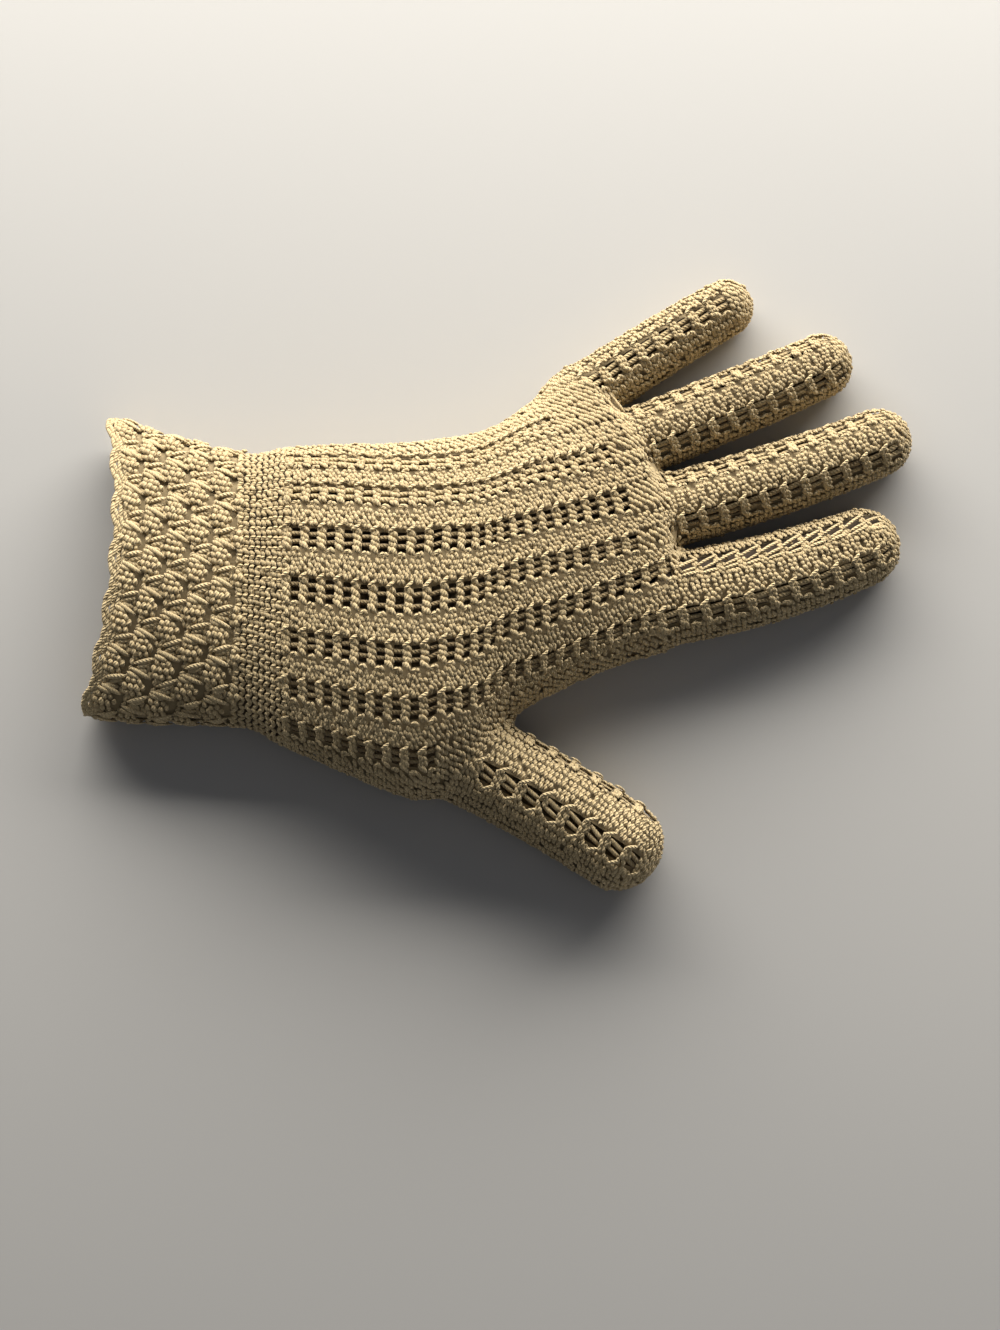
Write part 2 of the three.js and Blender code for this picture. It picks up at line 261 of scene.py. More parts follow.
class Tube:
    """A hollow knitted tube. Places along it are in its own units of along."""

    name: str
    first: float
    last: float

    def sections(self, along: Array) -> Sections:
        """Its sections at the given places."""
        raise NotImplementedError

    def locate(self, x: Array, y: Array) -> tuple[Array, Array, Array]:
        """The place along, the lateral share, and how far past its ends each plan point is."""
        raise NotImplementedError

    def point(self, along: Array, angle: Array) -> Array:
        """The surface point at each place along and angle round."""
        return self.sections(np.asarray(along, float)).point(np.asarray(angle, float))

    def girth_table(self) -> None:
        """Tabulates the arc length from the highest line, so that strokes can be spaced evenly."""
        share = np.linspace(0, 1, 90)
        self.stations = self.first + (self.last - self.first) * (1 - (1 - share) ** 1.7)
        self.angles = np.radians(np.linspace(-180, 180, 361))
        grid = self.point(self.stations[:, None], self.angles[None, :])
        steps = np.linalg.norm(np.diff(grid, axis=1), axis=-1)
        arcs = np.concatenate([np.zeros((len(grid), 1)), np.cumsum(steps, axis=1)], axis=1)
        self.arcs = arcs - arcs[:, 180:181]

    def arc(self, along: float, angle: float) -> float:
        """Arc length from the highest line to an angle, at one place along.

        Args:
            along: The place.
            angle: The angle, in radians.

        Returns:
            The length, negative on the little finger side.
        """
        row = np.interp(along, self.stations, np.arange(len(self.stations)))
        i, t = int(min(row, len(self.stations) - 2)), row - int(min(row, len(self.stations) - 2))
        arcs = self.arcs[i] * (1 - t) + self.arcs[i + 1] * t
        return float(np.interp(angle, self.angles, arcs))

    def angle_at(self, along: Array, arc: Array) -> Array:
        """The angle at each arc length from the highest line.

        Args:
            along: The places.
            arc: The arc lengths.

        Returns:
            The angles, in radians.
        """
        along, arc = np.broadcast_arrays(np.asarray(along, float), np.asarray(arc, float))
        out = np.zeros(arc.shape)
        rows = np.interp(along, self.stations, np.arange(len(self.stations)))
        low = np.minimum(rows.astype(int), len(self.stations) - 2)
        t = rows - low
        for i in np.unique(low):
            pick = low == i
            a = np.interp(arc[pick], self.arcs[i], self.angles)
            b = np.interp(arc[pick], self.arcs[i + 1], self.angles)
            out[pick] = a * (1 - t[pick]) + b * t[pick]
        return out


class Sleeve(Tube):
    """The cuff, wrist band and hand, with places along it in rows of its table.

    Its lengths are measured along the line at the angle MEASURED_AT, and CLOSE is how fast its
    wall closes past the last row.
    """

    MEASURED_AT = math.radians(12)
    CLOSE = 4.5

    def __init__(self) -> None:
        """Tabulates the sections, the girth and the length."""
        self.name = "sleeve"
        self.table = np.array(
            [
                (r.thumb_x, r.thumb_y, r.little_x, r.little_y, r.height, r.fullness, r.bow)
                for r in SLEEVE_TABLE
            ],
            float,
        )
        self.first, self.last = 0.0, float(len(SLEEVE_TABLE) - 1)
        self.girth_table()
        rows = np.linspace(0, self.last, 401)
        line = self.point(rows, np.full_like(rows, self.MEASURED_AT))
        steps = np.linalg.norm(np.diff(line, axis=0), axis=1)
        self._rows = rows
        self._lengths = np.concatenate([[0], np.cumsum(steps)])

    def sections(self, along: Array) -> Sections:
        """Its sections, which run on past both ends of the table.

        Args:
            along: Places, in rows of the table.

        Returns:
            The sections there.
        """
        values = catmull(self.table, np.asarray(along, float))
        low, high = values[..., 0:2], values[..., 2:4]
        across = low - high
        half = np.linalg.norm(across, axis=-1) / 2
        across = unit(across)
        forward = np.stack([-across[..., 1], across[..., 0]], axis=-1)
        along = np.asarray(along, float)
        spill = (np.minimum(along, 0) + np.maximum(along - self.last, 0)) * ROW_BEYOND
        centre = (low + high) / 2 + forward * spill[..., None]
        return Sections(
            centre, across, forward, half, np.zeros_like(half), values[..., 4],
            values[..., 5], values[..., 6],
        )

    def locate(self, x: Array, y: Array) -> tuple[Array, Array, Array]:
        """Finds the section that each plan point lies on, by halving.

        Args:
            x: The points' x.
            y: Their y.

        Returns:
            The place along, the lateral share, and how far past the last section each point is.
        """
        low = np.full(x.shape, -0.2)
        high = np.full(x.shape, self.last)
        for _ in range(22):
            middle = (low + high) / 2
            ahead, _ = self._ahead(middle, x, y)
            low = np.where(ahead > 0, middle, low)
            high = np.where(ahead > 0, high, middle)
        along = (low + high) / 2
        ahead, q = self._ahead(along, x, y)
        past = np.where(along > self.last - 0.01, np.maximum(ahead, 0) / self.CLOSE, 0)
        return along, q, past

    def _ahead(self, along: Array, x: Array, y: Array) -> tuple[Array, Array]:
        """How far each plan point is ahead of a section, and its lateral share there.

        Args:
            along: The places of the sections.
            x: The points' x.
            y: Their y.

        Returns:
            The distance ahead and the lateral share.
        """
        s = self.sections(along)
        dx, dy = x - s.centre[..., 0], y - s.centre[..., 1]
        q = (dx * s.across[..., 0] + dy * s.across[..., 1]) / s.half
        ahead = dx * s.forward[..., 0] + dy * s.forward[..., 1]
        return ahead - s.bow * (1 - np.minimum(q**2, 1.5)), q

    def row_at(self, length: Array) -> Array:
        """The table row at a length in millimetres past the cuff's mouth.

        Args:
            length: The lengths.

        Returns:
            The rows, which run on past both ends.
        """
        length = np.asarray(length, float)
        inside = np.interp(length, self._lengths, self._rows)
        past = np.maximum(length - self._lengths[-1], 0) + np.minimum(length, 0)
        return inside + past / ROW_BEYOND

    def length_at(self, row: float) -> float:
        """The length in millimetres from the cuff's mouth to a table row."""
        return float(np.interp(row, self._rows, self._lengths))


class Digit(Tube):
    """The thumb or a finger, with places along it in millimetres from its root.

    BURIED is how far it runs back into the hand, and FADE the length over which it ends there.
    """

    BURIED = 14.0
    FADE = 9.0
    FULLNESS = 2.1

    def __init__(self, row: DigitRow) -> None:
        """Works out the bent axis, the length and the girth.

        Args:
            row: The digit's axis and sizes.
        """
        self.name = row.name
        self.row = row
        root, tip = np.array(row.root), np.array(row.tip)
        chord = tip - root
        side = unit(np.array([-chord[1], chord[0]]))
        self.control = (root + tip) / 2 + side * 2 * row.sag
        self.root, self.tip = root, tip
        t = np.linspace(0, 1, 101)
        steps = np.linalg.norm(np.diff(self._axis(t), axis=0), axis=1)
        self.length = float(steps.sum())
        self.first, self.last = -self.BURIED, self.length - 0.02
        self.skin_length = self.length + row.tip_radius * (math.pi / 2 - 1)
        self.girth_table()

    def at_skin(self, skin: Array) -> Array:
        """The place along for a length measured over the rounded tip.

        Args:
            skin: The lengths over the skin.

        Returns:
            The places along the axis.
        """
        tip = self.row.tip_radius
        start = self.length - tip
        past = np.clip((np.asarray(skin, float) - start) / tip, 0, math.pi / 2)
        along = np.where(past > 0, start + tip * np.sin(past), skin)
        return np.clip(along, self.first, self.last)

    def _axis(self, t: Array) -> Array:
        """The plan points of the axis at shares of the way to the tip."""
        t = np.asarray(t, float)[..., None]
        return (1 - t) ** 2 * self.root + 2 * t * (1 - t) * self.control + t**2 * self.tip

    def _slope(self, t: Array) -> Array:
        """The direction of the axis at shares of the way to the tip."""
        t = np.asarray(t, float)[..., None]
        return 2 * (1 - t) * (self.control - self.root) + 2 * t * (self.tip - self.control)

    def sections(self, along: Array, rounded: bool = True) -> Sections:
        """Its sections.

        Args:
            along: Places, in millimetres from the root.
            rounded: False for a tube that stays open at its tip.

        Returns:
            The sections there.
        """
        along = np.asarray(along, float)
        share = along / self.length
        inside = np.clip(share, 0, 1)
        direction = unit(self._slope(inside))
        centre = self._axis(inside) + direction * (along - inside * self.length)[..., None]
        across = np.stack([direction[..., 1], -direction[..., 0]], axis=-1)
        row = self.row
        past = np.maximum(0, along - (self.length - row.tip_radius)) / row.tip_radius
        shrink = np.sqrt(np.maximum(0.0004, 1 - past**2)) if rounded else 1.0
        taper = 1 - row.taper * inside**2
        middle = row.height * taper / 2
        return Sections(
            centre, across, direction, row.half_width * taper * shrink,
            middle * (1 - shrink), middle * (1 + shrink),
            np.full_like(taper, self.FULLNESS), np.zeros_like(taper),
        )

    def locate(self, x: Array, y: Array) -> tuple[Array, Array, Array]:
        """Finds the nearest point of the axis to each plan point.

        Args:
            x: The points' x.
            y: Their y.

        Returns:
            The place along, the lateral share, and how far past its ends each point is.
        """
        point = np.stack([x, y], axis=-1)
        chord = self.tip - self.root
        t = np.clip(((point - self.root) @ chord) / (chord @ chord), -0.5, 1.3)
        for _ in range(4):
            gap = point - self._axis(t)
            slope = self._slope(t)
            t = t + (gap * slope).sum(-1) / np.maximum((slope * slope).sum(-1), 1)
            t = np.clip(t, -0.6, 1.4)
        inside = np.clip(t, 0, 1)
        direction = unit(self._slope(inside))
        gap = point - self._axis(inside)
        along = inside * self.length + (gap * direction).sum(-1)
        s = self.sections(along, rounded=False)
        q = ((point - s.centre) * s.across).sum(-1) / s.half
        row = self.row
        past = np.maximum(0, along - (self.length - row.tip_radius)) / row.tip_radius
        buried = np.maximum(0, -along - 1) / self.FADE
        return along, q, np.hypot(past, buried)


class Form:
    """The smooth skin over all the tubes, as a grid of distances.

    LOW is the grid's lowest corner in the plan, SHAPE its number of points, STEP their spacing.
    """

    LOW = (-16.0, -86.0, -4.0)
    SHAPE = (250, 198, 46)
    STEP = 1.0

    def __init__(self, sleeve: Sleeve, digits: Sequence[Digit]) -> None:
        """Works out every tube's distances and blends them.

        Args:
            sleeve: The sleeve.
            digits: The thumb and the fingers.
        """
        self.low = np.array(self.LOW)
        xs, ys, zs = (self.low[k] + self.STEP * np.arange(self.SHAPE[k]) for k in range(3))
        x, y = np.meshgrid(xs, ys, indexing="ij")
        self.depths: dict[str, Array] = {}
        for tube in (sleeve, *digits):
            along, q, past = tube.locate(x, y)
            s = tube.sections(along) if tube is sleeve else tube.sections(along, rounded=False)
            deep = Sections(*(value[:, :, None] for value in vars(s).values()))
            share = deep.share(q[:, :, None], zs[None, None, :])
            share = np.sqrt(share**2 + past[:, :, None] ** 2)
            slope = np.sqrt(sum(g**2 for g in np.gradient(share, self.STEP)))
            self.depths[tube.name] = ((share - 1) / np.maximum(slope, 0.025)).astype(np.float32)
        body = self.depths["sleeve"]
        skin = body
        for digit in digits:
            other = self.depths[digit.name]
            near = np.maximum(BLEND - np.abs(body - other), 0) / BLEND
            skin = np.minimum(skin, np.minimum(body, other) - near**2 * BLEND / 4)
        self.skin = skin
        self.slopes = [g.astype(np.float32) for g in np.gradient(skin, self.STEP)]

    def sample(self, grid: Array, points: Array) -> Array:
        """Values of a grid at points, by linear interpolation.

        Args:
            grid: The grid's values.
            points: The points.

        Returns:
            A value for each point.
        """
        place = (points - self.low) / self.STEP
        place = np.clip(place, 0, np.array(grid.shape) - 1.001)
        i = place.astype(int)
        t = place - i
        out = np.zeros(points.shape[:-1])
        for dx in (0, 1):
            for dy in (0, 1):
                for dz in (0, 1):
                    weight = (
                        (t[..., 0] if dx else 1 - t[..., 0])
                        * (t[..., 1] if dy else 1 - t[..., 1])
                        * (t[..., 2] if dz else 1 - t[..., 2])
                    )
                    out += weight * grid[i[..., 0] + dx, i[..., 1] + dy, i[..., 2] + dz]
        return out

    def normal(self, points: Array) -> Array:
        """The outward direction of the skin at points."""
        return unit(np.stack([self.sample(g, points) for g in self.slopes], axis=-1))

    def settle(self, points: Array, level: Array | float) -> Array:
        """Moves points along the skin's normal until they lie at a level over the skin.

        Args:
            points: The points.
            level: The level, in millimetres.

        Returns:
            The moved points.
        """
        points = points.copy()
        for _ in range(7):
            away = self.sample(self.skin, points) - level
            points -= self.normal(points) * np.clip(away, -2.5, 2.5)[..., None]
        return points

    def spread(self, level: float) -> Array:
        """Points all over one level of the skin, about one for each square millimetre."""
        near = np.argwhere(np.abs(self.skin - level) < 0.55 * self.STEP)
        return self.settle(self.low + self.STEP * near, level)

    def owner(self, points: Array) -> Array:
        """The name of the tube whose surface is nearest to each point."""
        names = np.array(list(self.depths))
        return names[np.argmin([self.sample(g, points) for g in self.depths.values()], axis=0)]

    def owner_gap(self, name: str, points: Array) -> Array:
        """How much farther off the named tube's surface is than any other, negative if nearest.

        Args:
            name: The tube's name.
            points: The points.

        Returns:
            The difference for each point.
        """
        own = self.sample(self.depths[name], points)
        others = np.min(
            [self.sample(g, points) for key, g in self.depths.items() if key != name], axis=0
        )
        return own - others


# Strokes and charts


@dataclass(frozen=True)
class Stroke:
    """One stroke of a chart, in millimetres from the middle of its cell.

    u runs along the tube, w across it to the thumb side, and lift is over the knitted level.
    tone lightens or darkens the yarn: on raised strands a painted highlight, on sunken rungs and
    beside openings painted shade, and elsewhere small differences of tone.
    """

    u0: float
    w0: float
    u1: float
    w1: float
    width: float
    lift: float = 0.0
    kind: Kind = Kind.OVAL
    tone: float = 0.0


@dataclass(frozen=True)
class Chart:
    """The strokes of one cell, and the places in it that stay open."""

    strokes: tuple[Stroke, ...]
    clear: tuple[tuple[float, float], ...]

    def drawn_together(self, width: float, lift: float, tone: float) -> "Chart":
        """The same cell where the knitting is less stretched.

        Args:
            width: The width of its rungs.
            lift: How far behind the knitting they lie.
            tone: Their tone, the painted shade that darkens them.

        Returns:
            The cell with these rungs.
        """
        strokes = tuple(
            replace(s, width=width, lift=lift, tone=tone) if s.kind is Kind.RUNG else s
            for s in self.strokes
        )
        return Chart(strokes, self.clear)


# The length of a lace cell, and the distance across from one lace row to the next
PITCH = 4.68
REPEAT = 13.7

# The cell of a lace row: three eyelets, one over the other, between two posts
EYELET_CHART = Chart(
    (
        # Raised strands and strokes carry a higher tone, a painted highlight; sunken rungs and
        # strokes beside the eyelets a lower one, painted shade.
        Stroke(-3.45, -2.35, -1.5, -3.9, 1.05, 0.7, Kind.STRAND, 0.4),
        Stroke(-3.15, -2.9, -2.4, -1.4, 1.25, 0.15),
        Stroke(-2.2, -2.6, -1.45, -1.2, 1.15, 0.05),
        Stroke(-3.2, -1.4, -2.3, 0.2, 1.25, 0.2, tone=-0.05),
        Stroke(-2.3, -1.0, -1.3, 0.5, 1.2, 0.15, tone=-0.05),
        Stroke(-3.0, 0.1, -2.2, 1.7, 1.25, 0.2),
        Stroke(-2.15, 0.5, -1.3, 1.9, 1.15, 0.15),
        Stroke(-3.3, 1.5, -2.3, 3.2, 1.2, 0.2),
        Stroke(-2.5, 1.8, -1.4, 3.7, 1.25, 0.5, tone=0.2),
        Stroke(-1.7, -1.05, 1.6, -1.2, 1.25, -0.7, Kind.RUNG, -0.75),
        Stroke(-1.6, 1.2, 1.5, 1.05, 1.25, -0.7, Kind.RUNG, -0.75),
        Stroke(-0.85, 4.2, -0.05, 3.05, 1.0, 0.4, tone=0.2),
        Stroke(0.3, 3.05, 1.1, 4.2, 1.0, 0.4, tone=0.2),
        Stroke(0.05, 3.7, 0.25, 4.7, 0.95, 0.1),
        Stroke(-1.9, -5.0, -1.3, -3.8, 1.1, 0.1),
        Stroke(-0.75, -4.7, -0.1, -3.2, 1.15, 0.1),
        Stroke(0.4, -4.6, 1.05, -3.2, 1.15, 0.05),
    ),
    ((-0.7, -2.3), (0.6, -2.3), (-0.4, 0.0), (0.8, 0.0), (-0.7, 2.3), (0.6, 2.3)),
)

# The same cell in the uppermost lace rows, and along the fingers, with wider rungs in lighter
# painted shade
UPPER_CHART = EYELET_CHART.drawn_together(1.6, -0.35, -0.4)
FINGER_CHART = EYELET_CHART.drawn_together(1.45, -0.55, -0.6)

# The ribbon of slanted stitches that follows each lace row, with its small pits
RIBBON_CHART = Chart(
    (
        Stroke(-1.8, 4.4, -1.0, 5.9, 1.1, 0.05),
        Stroke(-0.6, 4.6, 0.2, 6.1, 1.1, 0.15),
        Stroke(0.6, 4.4, 1.4, 5.9, 1.1, 0.05),
        Stroke(-2.35, 5.7, -1.6, 7.2, 1.1, 0.15, tone=0.05),
        Stroke(-1.2, 5.8, -0.4, 7.3, 1.05, 0.0),
        Stroke(-0.05, 5.8, 0.75, 7.3, 1.1, 0.1),
        Stroke(1.15, 5.7, 1.95, 7.2, 1.05, 0.05),
        Stroke(-0.7, 7.0, 0.1, 8.5, 1.1, 0.15, tone=0.05),
        Stroke(0.45, 6.9, 1.25, 8.4, 1.05, 0.0),
        Stroke(1.65, 6.9, 2.45, 8.4, 1.1, 0.1),
        Stroke(-2.2, 8.0, -1.4, 9.4, 1.05, 0.05),
        Stroke(-1.05, 8.2, -0.25, 9.6, 1.1, 0.15),
        Stroke(0.1, 8.2, 0.9, 9.6, 1.05, 0.05),
        Stroke(1.3, 8.1, 2.0, 9.4, 1.1, 0.1, tone=0.05),
    ),
    ((-2.3, 5.1), (2.4, 5.1), (-1.4, 7.6), (-2.5, 9.5), (2.2, 9.5)),
)

# The larger cell of the thumb, for a pitch of 6.4 mm
FAN_CHART = Chart(
    (
        # The strands' higher tone is a painted highlight; the rungs' lower tone is painted shade.
        Stroke(-4.3, -1.9, -1.9, -3.9, 1.0, 0.8, Kind.STRAND, 0.45),
        Stroke(-4.4, -2.0, -3.5, -0.4, 1.2, 0.15),
        Stroke(-3.4, -2.6, -2.4, -1.0, 1.15, 0.1),
        Stroke(-2.6, -1.4, -1.8, 0.0, 1.0, 0.0),
        Stroke(-4.3, -0.3, -3.3, 1.3, 1.2, 0.2, tone=-0.05),
        Stroke(-3.2, -0.9, -2.2, 0.8, 1.15, 0.15),
        Stroke(-4.2, 1.4, -3.1, 3.0, 1.2, 0.1),
        Stroke(-3.0, 0.9, -2.0, 2.6, 1.2, 0.2),
        Stroke(0.2, 4.1, 2.6, 2.1, 1.0, 0.7, Kind.STRAND, 0.4),
        Stroke(-2.1, -1.5, 2.2, -0.3, 1.3, -0.5, Kind.RUNG, -0.5),
        Stroke(-2.1, 0.5, 2.2, 1.5, 1.2, -0.5, Kind.RUNG, -0.5),
        Stroke(-1.9, 2.6, -0.9, 4.2, 1.15, 0.2),
        Stroke(-0.6, 3.3, 0.2, 4.6, 1.0, -0.1),
        Stroke(-2.2, -4.9, -1.5, -3.5, 1.1, 0.1),
        Stroke(-1.0, -4.7, -0.3, -3.2, 1.1, 0.0),
        Stroke(0.3, -4.7, 1.1, -3.2, 1.1, 0.15),
        Stroke(1.6, -4.8, 2.3, -3.4, 1.1, 0.0),
    ),
    ((-1.0, -2.3), (0.4, -2.0), (1.5, -2.2), (0.0, -0.1), (-1.0, 1.6), (0.2, 2.0), (1.4, 2.6),
     (2.6, 1.4)),
)

# The open crossed cell along the upper edge of the index finger, for a pitch of 5.85 mm
CROSS_CHART = Chart(
    (
        # The raised strands' higher tone is a painted highlight.
        Stroke(-3.3, 0.9, 2.9, -1.4, 0.95, 0.6, Kind.STRAND, 0.25),
        Stroke(-1.8, 2.2, 3.2, 0.9, 0.9, 0.4, Kind.STRAND, 0.2),
        Stroke(-1.9, 3.0, 2.9, 2.5, 1.05, 0.4, Kind.STRAND, 0.2),
        Stroke(-3.4, -2.6, -2.6, -1.2, 1.0, 0.2),
        Stroke(-3.3, -1.2, -2.4, 0.2, 1.05, 0.1),
        Stroke(-3.3, 0.8, -2.4, 2.4, 1.15, 0.1),
        Stroke(-2.2, 0.7, -1.4, 2.0, 1.1, 0.1),
        Stroke(2.0, -0.6, 2.8, 0.8, 1.1, 0.1),
        Stroke(2.2, 1.5, 3.0, 2.6, 1.1, 0.2),
        Stroke(-2.3, 2.3, -1.4, 3.7, 1.15, 0.1),
        Stroke(-3.6, 2.5, -2.7, 4.0, 1.15, 0.05),
        Stroke(-2.5, -4.3, -1.8, -2.7, 1.15, 0.05),
        Stroke(-1.1, -4.4, -0.4, -2.8, 1.15, 0.1),
        Stroke(0.3, -4.4, 1.0, -2.8, 1.15, 0.0),
        Stroke(1.7, -4.3, 2.4, -2.7, 1.15, 0.1),
        Stroke(-1.0, 3.4, -0.2, 4.8, 1.15, 0.0),
        Stroke(0.3, 3.3, 1.1, 4.8, 1.15, 0.1),
        Stroke(1.6, 3.2, 2.4, 4.7, 1.15, 0.0),
    ),
    ((-1.6, -1.4), (-0.7, -1.6), (0.3, -1.8), (1.2, -2.0), (-0.5, 0.6), (0.5, 0.6), (1.3, 0.4)),
)

# The seed stitch between the lace rows of a finger, with its long slit, dark with the ground's
# painted shade
SEED_CHART = Chart(
    (
        Stroke(-2.5, -3.3, -1.9, -1.9, 1.15, 0.1),
        Stroke(-1.3, -3.2, -0.7, -1.8, 1.15, 0.15),
        Stroke(1.0, -3.1, 1.5, -1.7, 1.15, 0.1),
        Stroke(-2.2, -1.9, -1.6, -0.5, 1.1, 0.0),
        Stroke(-1.0, -1.8, -0.7, -0.4, 1.15, 0.15, tone=0.1),
        Stroke(1.9, -2.0, 2.5, -0.6, 1.1, 0.05),
        Stroke(0.8, -1.6, 1.2, -0.2, 1.15, 0.15),
        Stroke(-2.5, -0.6, -1.9, 0.8, 1.1, 0.1),
        Stroke(-1.2, -0.5, -0.8, 0.9, 1.15, 0.1),
        Stroke(0.9, -0.2, 1.3, 1.2, 1.1, 0.1, tone=0.1),
        Stroke(2.1, -0.6, 2.7, 0.8, 1.1, 0.0),
        Stroke(-2.2, 0.8, -1.6, 2.2, 1.15, 0.1),
        Stroke(-0.9, 0.9, -0.5, 2.3, 1.15, 0.15),
        Stroke(1.0, 1.2, 1.6, 2.6, 1.15, 0.1),
        Stroke(2.2, 0.9, 2.8, 2.3, 1.1, 0.05),
        Stroke(-1.8, 2.2, -1.1, 3.5, 1.15, 0.05),
        Stroke(-0.3, 2.1, 0.4, 3.5, 1.15, 0.15, tone=0.1),
        Stroke(1.4, 2.6, 2.1, 3.7, 1.1, 0.05),
        Stroke(-0.3, -3.3, 0.4, -2.2, 1.1, 0.1),
    ),
    ((0.1, -1.4), (0.0, -0.4), (0.15, 0.6), (0.3, 1.5)),
)

# A honeycomb cell of the cuff: a round pillow of ovals, a crescent left open along its right
# side where the ground's painted shade shows, and two slack strands over it
HONEYCOMB_ALONG = 12.4
HONEYCOMB_ACROSS = 12.0
HONEYCOMB_CHART = Chart(
    (
        # The strands' higher tone is a painted highlight; the ovals beside the crescent have a
        # lower tone, painted shade.
        Stroke(-7.6, -0.9, -3.3, -2.9, 1.2, 0.6, Kind.STRAND, 0.4),
        Stroke(-6.9, 0.3, -4.0, -1.2, 1.2, 0.2, Kind.STRAND, 0.15),
        Stroke(-2.2, -4.9, 2.9, -2.6, 1.2, 0.3, Kind.STRAND, 0.25),
        Stroke(-2.9, -3.8, 0.3, -2.5, 1.2, 0.05, Kind.STRAND, 0.1),
        Stroke(-7.5, 1.0, -4.3, 1.3, 1.25, 0.0, Kind.STRAND, 0.1),
        Stroke(-2.6, -2.3, -1.8, -0.9, 1.3, 0.0),
        Stroke(-1.15, -2.2, -0.4, -0.7, 1.3, 0.1),
        Stroke(0.3, -2.0, 0.95, -0.5, 1.25, 0.0),
        Stroke(-3.1, -0.6, -2.3, 1.1, 1.35, 0.05),
        Stroke(-1.6, -0.5, -0.85, 1.2, 1.4, 0.15),
        Stroke(-0.1, -0.3, 0.55, 1.4, 1.4, 0.15),
        Stroke(1.45, -0.7, 1.75, 1.0, 1.3, 0.0, tone=-0.1),
        Stroke(-2.5, 1.4, -1.6, 2.9, 1.3, 0.05),
        Stroke(-0.9, 1.6, -0.1, 3.1, 1.35, 0.1),
        Stroke(0.7, 1.6, 1.3, 3.0, 1.25, 0.0, tone=-0.1),
        Stroke(-4.3, -0.9, -3.9, 0.8, 1.2, -0.1),
        Stroke(-4.0, 1.3, -3.1, 2.8, 1.2, -0.1),
        Stroke(-2.1, 3.4, -0.5, 4.3, 1.2, 0.0),
        Stroke(0.1, 4.0, 1.9, 3.5, 1.15, -0.1),
        Stroke(3.9, -2.0, 4.4, -0.3, 1.25, 0.0, tone=0.05),
        Stroke(4.2, 0.1, 3.9, 1.8, 1.25, 0.0),
        Stroke(3.0, 3.2, 4.4, 3.9, 1.2, -0.1),
        Stroke(-0.4, -5.9, 1.3, -5.0, 1.2, -0.1),
        Stroke(2.6, -4.4, 4.2, -3.4, 1.2, 0.0),
    ),
    ((1.5, -1.8), (2.0, -1.1), (2.3, -0.2), (2.3, 0.7), (2.0, 1.6)),
)


@dataclass(frozen=True)
class YarnShape:
    """The tube of one kind of stroke, for a stroke of length and width one.

    end is the thickness of its ends, power how late it thins, and arch how high its middle rises.
    """

    rings: int
    end: float
    power: float
    arch: float


YARN_SHAPES = {
    Kind.OVAL: YarnShape(rings=3, end=0.45, power=2.8, arch=0.2),
    Kind.STRAND: YarnShape(rings=5, end=0.4, power=3.2, arch=0.42),
    Kind.RUNG: YarnShape(rings=3, end=0.8, power=6.0, arch=0.1),
}
# The faces round a length of yarn, and its thickness as a share of its width
YARN_SIDES = 6
YARN_THICKNESS = 0.6


@dataclass
class StrokeSet:
    """Strokes placed on a tube, as flat arrays."""

    parts: list[tuple[Array, ...]] = field(default_factory=list)

    def add(
        self,
        along0: Array,
        angle0: Array,
        along1: Array,
        angle1: Array,
        width: Array | float,
        lift: Array | float,
        kind: Array | int,
        tone: Array | float,
    ) -> None:
        """Adds strokes between two places on the tube."""
        values = np.broadcast_arrays(along0, angle0, along1, angle1, width, lift, kind, tone)
        self.parts.append(tuple(np.asarray(v, float).ravel() for v in values))

    def arrays(self) -> list[Array]:
        """All the strokes' values, joined."""
        return [np.concatenate(column) for column in zip(*self.parts, strict=True)]


@dataclass
class Laid:
    """Strokes in space, in millimetres in the plan."""

    start: Array
    end: Array
    normal: Array
    width: Array
    kind: Array
    tone: Array

    def pick(self, keep: Array) -> "Laid":
        """Only the strokes that are kept."""
        return Laid(*(value[keep] for value in vars(self).values()))

    @staticmethod
    def join(parts: Sequence["Laid"]) -> "Laid":
        """Several sets of strokes as one."""
        return Laid(*(np.concatenate(c) for c in zip(*(vars(p).values() for p in parts))))


